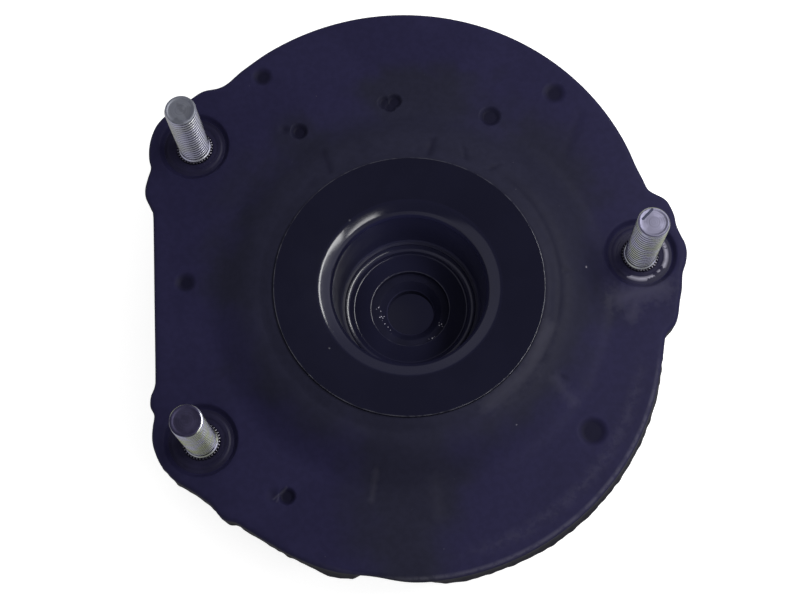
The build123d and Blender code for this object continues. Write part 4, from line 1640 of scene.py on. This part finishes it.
@dataclass
class Bearing:
    """The thrust bearing and the spring pad under the flange."""

    plastic: Finish = MouldedFinish("Cap plastic", roughness=0.42)
    rubber: Finish = MouldedFinish(
        "Pad rubber", colour=hue(40, 39, 42), grain=0.5, depth=0.03, roughness=0.62)
    seal: Finish = MouldedFinish("Seal rubber", colour=hue(46, 45, 48), depth=0.008, roughness=0.4)
    race: Finish = SteelFinish("Bearing steel", roughness=0.2)
    ball: Finish = SteelFinish("Ball steel", roughness=0.12, dirt_share=0.05, pitch=0.6)
    cage: Finish = MouldedFinish("Cage plastic", colour=hue(206, 196, 168), depth=0.01, roughness=0.45)
    ball_count: int = 24
    upper_cap: tuple[Corner, ...] = (
        (33.5, 13.4, 0.2), (33.5, 4.0, 0.3), (35.1, 4.0, 0.3), (35.1, 9.9, 0.3), (37.25, 9.9, 0.1),
        (37.25, 10.4, 0.1), (45.75, 10.4, 0.1), (45.75, 9.9, 0.1), (48.5, 9.9, 0.3), (48.5, 7.3, 0.1),
        (48.2, 6.7, 0.2), (48.5, 6.1, 0.1), (48.5, 4.0, 0.3), (50.1, 4.0, 0.4), (50.1, 13.4, 0.5),
    )
    lower_cap: tuple[Corner, ...] = (
        (33.5, -0.8, 0.3), (50.7, -0.8, 0.3), (50.7, 2.7, 0.4), (47.4, 2.7, 0.2), (47.4, 7.7, 0.1),
        (48.1, 8.3, 0.2), (47.4, 8.9, 0.1), (46.3, 8.9, 0.2), (46.3, 2.7, 0.2), (45.75, 2.7, 0.1),
        (45.75, 2.2, 0.1), (37.25, 2.2, 0.1), (37.25, 2.7, 0.1), (36.8, 2.7, 0.2), (36.8, 8.9, 0.2),
        (35.7, 8.9, 0.2), (35.7, 2.7, 0.2), (33.5, 2.7, 0.3),
    )
    pad: tuple[Corner, ...] = ((35.7, -4.4, 0.5), (50.7, -4.4, 0.6), (50.7, -0.8, 0.4), (35.7, -0.8, 0.3))

    def seal_outline(self, inner: float, outer: float) -> tuple[Corner, ...]:
        """The outline of a seal, with its lip in the middle.

        Args:
            inner: Its inner radius.
            outer: Its outer radius.

        Returns:
            The corners, as (radius, height, rounding).
        """
        middle = (inner + outer) / 2.0
        return ((inner, 2.7, 0.1), (outer, 2.7, 0.1), (outer, 3.1, 0.15), (middle + 0.3, 3.7, 0.15),
                (middle - 0.3, 3.7, 0.15), (inner, 3.1, 0.15))

    def build(self) -> None:
        """Builds every piece of the bearing and the pad."""
        Turned("bearing_upper_cap", Body.MOUNT, "cap_plastic", self.plastic, self.upper_cap).build()
        LowerCap("bearing_lower_cap", Body.SEAT, "cap_plastic", self.plastic, self.lower_cap).build()
        for name, inner, outer in (("inner_seal", 33.5, 35.5), ("outer_seal", 47.6, 50.5)):
            Turned(name, Body.SEAT, "seal_rubber", self.seal, self.seal_outline(inner, outer)).build()
        SpringPad("spring_pad", Body.SEAT, "pad_rubber", self.rubber, self.pad).build()
        for name in ("upper_race", "lower_race"):
            KeptNode(name, self.race).dress()
        KeptNode("ball_cage", self.cage).dress()
        for number in range(1, self.ball_count + 1):
            KeptNode(f"ball_{number:02d}", self.ball).dress()


def facing(across: Vector, up: Vector, back: Vector) -> Matrix:
    """The turn of a lamp or camera that looks against its back direction."""
    return Matrix((across, up, back)).transposed().to_4x4()


@dataclass(frozen=True)
class Lamp:
    """An area lamp that faces the mount, with its distance and size in metres and its power in watts."""

    name: str
    direction: Point
    distance: float
    size: Spot
    power: float
    along: Point
    mirrored: bool = False

    def hang(self) -> None:
        """Hangs the lamp, with its length along its own way."""
        lamp = bpy.data.lights.new(self.name, "AREA")
        lamp.shape = "RECTANGLE"
        lamp.size, lamp.size_y = self.size
        lamp.energy = self.power
        way = Vector(self.direction).normalized()
        run = (Vector(self.along) - way * way.dot(Vector(self.along))).normalized()
        hung = show(self.name, lamp)
        hung.matrix_world = Matrix.Translation(way * self.distance) @ facing(run, way.cross(run), way)
        hung.visible_glossy = self.mirrored


@dataclass
class Studio:
    """The floor, the backdrop, the lamps and the camera."""

    tilt: float = 17.49
    roll: float = 3.87
    focal: float = 1406.0
    distance: float = 352.9
    aim: Point = (-2.54, -1.81, FLANGE_TOP)
    width: int = 800
    sensor: float = 36.0
    hidden_floor: float = 46.0
    # Painted shade: the dark colour that the floor glows with under the part, seen through the bore.
    painted_bore_shade: Colour = hue(22, 22, 36)
    glow: float = 0.72
    gloss_share: float = 0.25
    lamps: tuple[Lamp, ...] = (
        Lamp("key lamp", (0.57, 0.14, 0.77), 0.4, (0.3, 0.072), 0.87, (0.0, 1.0, -0.1), True),
        Lamp("near lamp", (0.46, -0.42, 0.77), 0.4, (0.17, 0.03), 0.16, (0.37, 0.23, -0.1), True),
        Lamp("soft lamp", (0.62, 0.13, 0.76), 0.4, (0.3, 0.1), 0.12, (0.0, 1.0, -0.1)),
        Lamp("left lamp", (-0.9, -0.1, 0.42), 0.7, (0.4, 0.2), 0.22, (0.0, 1.0, 0.0)),
        Lamp("far lamp", (0.0, 0.9, 0.45), 0.6, (0.5, 0.1), 0.35, (1.0, 0.0, 0.0)),
    )

    def build(self) -> None:
        """Builds the whole studio."""
        self.build_floor()
        self.build_world()
        for lamp in self.lamps:
            lamp.hang()
        self.build_camera()
        bpy.context.scene.view_settings.view_transform = "Standard"

    def build_floor(self) -> None:
        """Lays a pale round floor that shows white to the camera and keeps the shadow, with painted shade
        under the part: a dark patch that glows dimly, seen through the bore.
        """
        work = bmesh.new()
        bmesh.ops.create_circle(work, cap_ends=True, segments=96, radius=2.5)
        mesh = bpy.data.meshes.new("floor")
        work.to_mesh(mesh)
        work.free()
        floor = show("floor", mesh)
        floor.location.z = FLOOR_LEVEL * MM
        material = bpy.data.materials.new("Pale floor")
        material.use_nodes = True
        w = Wiring(material.node_tree)
        radius = w.radius(w.get("TexCoord", which="Object"))
        open_floor = w.fit(radius, self.hidden_floor * MM, (self.hidden_floor + 3.0) * MM)
        seen = w.ray("Camera").most(w.ray("Transmission")).most(w.ray("Glossy") * self.gloss_share)
        # Painted shade under the part: the floor glows dimly in a dark colour there, and its own colour is
        # nearly black.
        shown = w.mix(open_floor, self.painted_bore_shade, grey(self.glow))
        white = w.get("Emission", {"Color": shown, "Strength": seen})
        tone = w.mix(open_floor, grey(0.01), w.mix(w.ray("Glossy"), grey(0.78), grey(0.3)))
        both = w.get("AddShader", {0: white, 1: w.get("BsdfDiffuse", {0: tone})})
        w.add("OutputMaterial", {"Surface": both})
        mesh.materials.append(material)

    def build_world(self) -> None:
        """Makes a backdrop that is white to the camera and pale near the horizon in gloss."""
        world = bpy.data.worlds.new("Studio")
        world.use_nodes = True
        bpy.context.scene.world = world
        w = Wiring(world.node_tree)
        x, y, z = w.axes(w.get("TexCoord", which="Generated"))
        glossy = w.ray("Glossy")
        straight = w.ray("Camera").most(w.ray("Transmission"))
        low = w.fit(z + w.math("ABSOLUTE", y) * 0.21, 0.84, 0.81, 0.015, 1.0)
        side = w.fit(x, 0.1, -0.6, 0.3, 0.5) + w.fit(x, 0.5, 0.95, 0.0, 0.6)
        fill = w.math("SUBTRACT", 1.0, straight.most(glossy)) * 0.4
        tone = w.mix(glossy, grey(1.0), (0.8, 0.8, 1.0, 1.0))
        back = w.get("Background", {"Color": tone, "Strength": straight.most(low * side * glossy) + fill})
        w.add("OutputWorld", {"Surface": back})

    def build_camera(self) -> None:
        """Sets the camera up at the photograph's viewing angle."""
        tilt, roll = math.radians(self.tilt), math.radians(self.roll)
        back = Vector((0.0, -math.sin(tilt), math.cos(tilt)))
        right = Vector((1.0, 0.0, 0.0))
        up = back.cross(right)
        lens = bpy.data.cameras.new("camera")
        lens.sensor_fit = "HORIZONTAL"
        lens.sensor_width = self.sensor
        lens.lens = self.focal / self.width * self.sensor
        lens.clip_start = 0.01
        camera = show("camera", lens)
        across = math.cos(roll) * right - math.sin(roll) * up
        above = math.sin(roll) * right + math.cos(roll) * up
        place = (Vector(self.aim) + back * self.distance) * MM
        camera.matrix_world = Matrix.Translation(place) @ facing(across, above, back)
        bpy.context.scene.camera = camera


def main() -> None:
    """Builds the mount and its studio, and reports each piece."""
    logging.basicConfig(level=logging.INFO, format="%(name)s: %(message)s")
    EffectGroups().build()
    Studio().build()
    log.info("studio ready")
    Mount().build()
    Bearing().build()


if __name__ == "__main__":
    main()
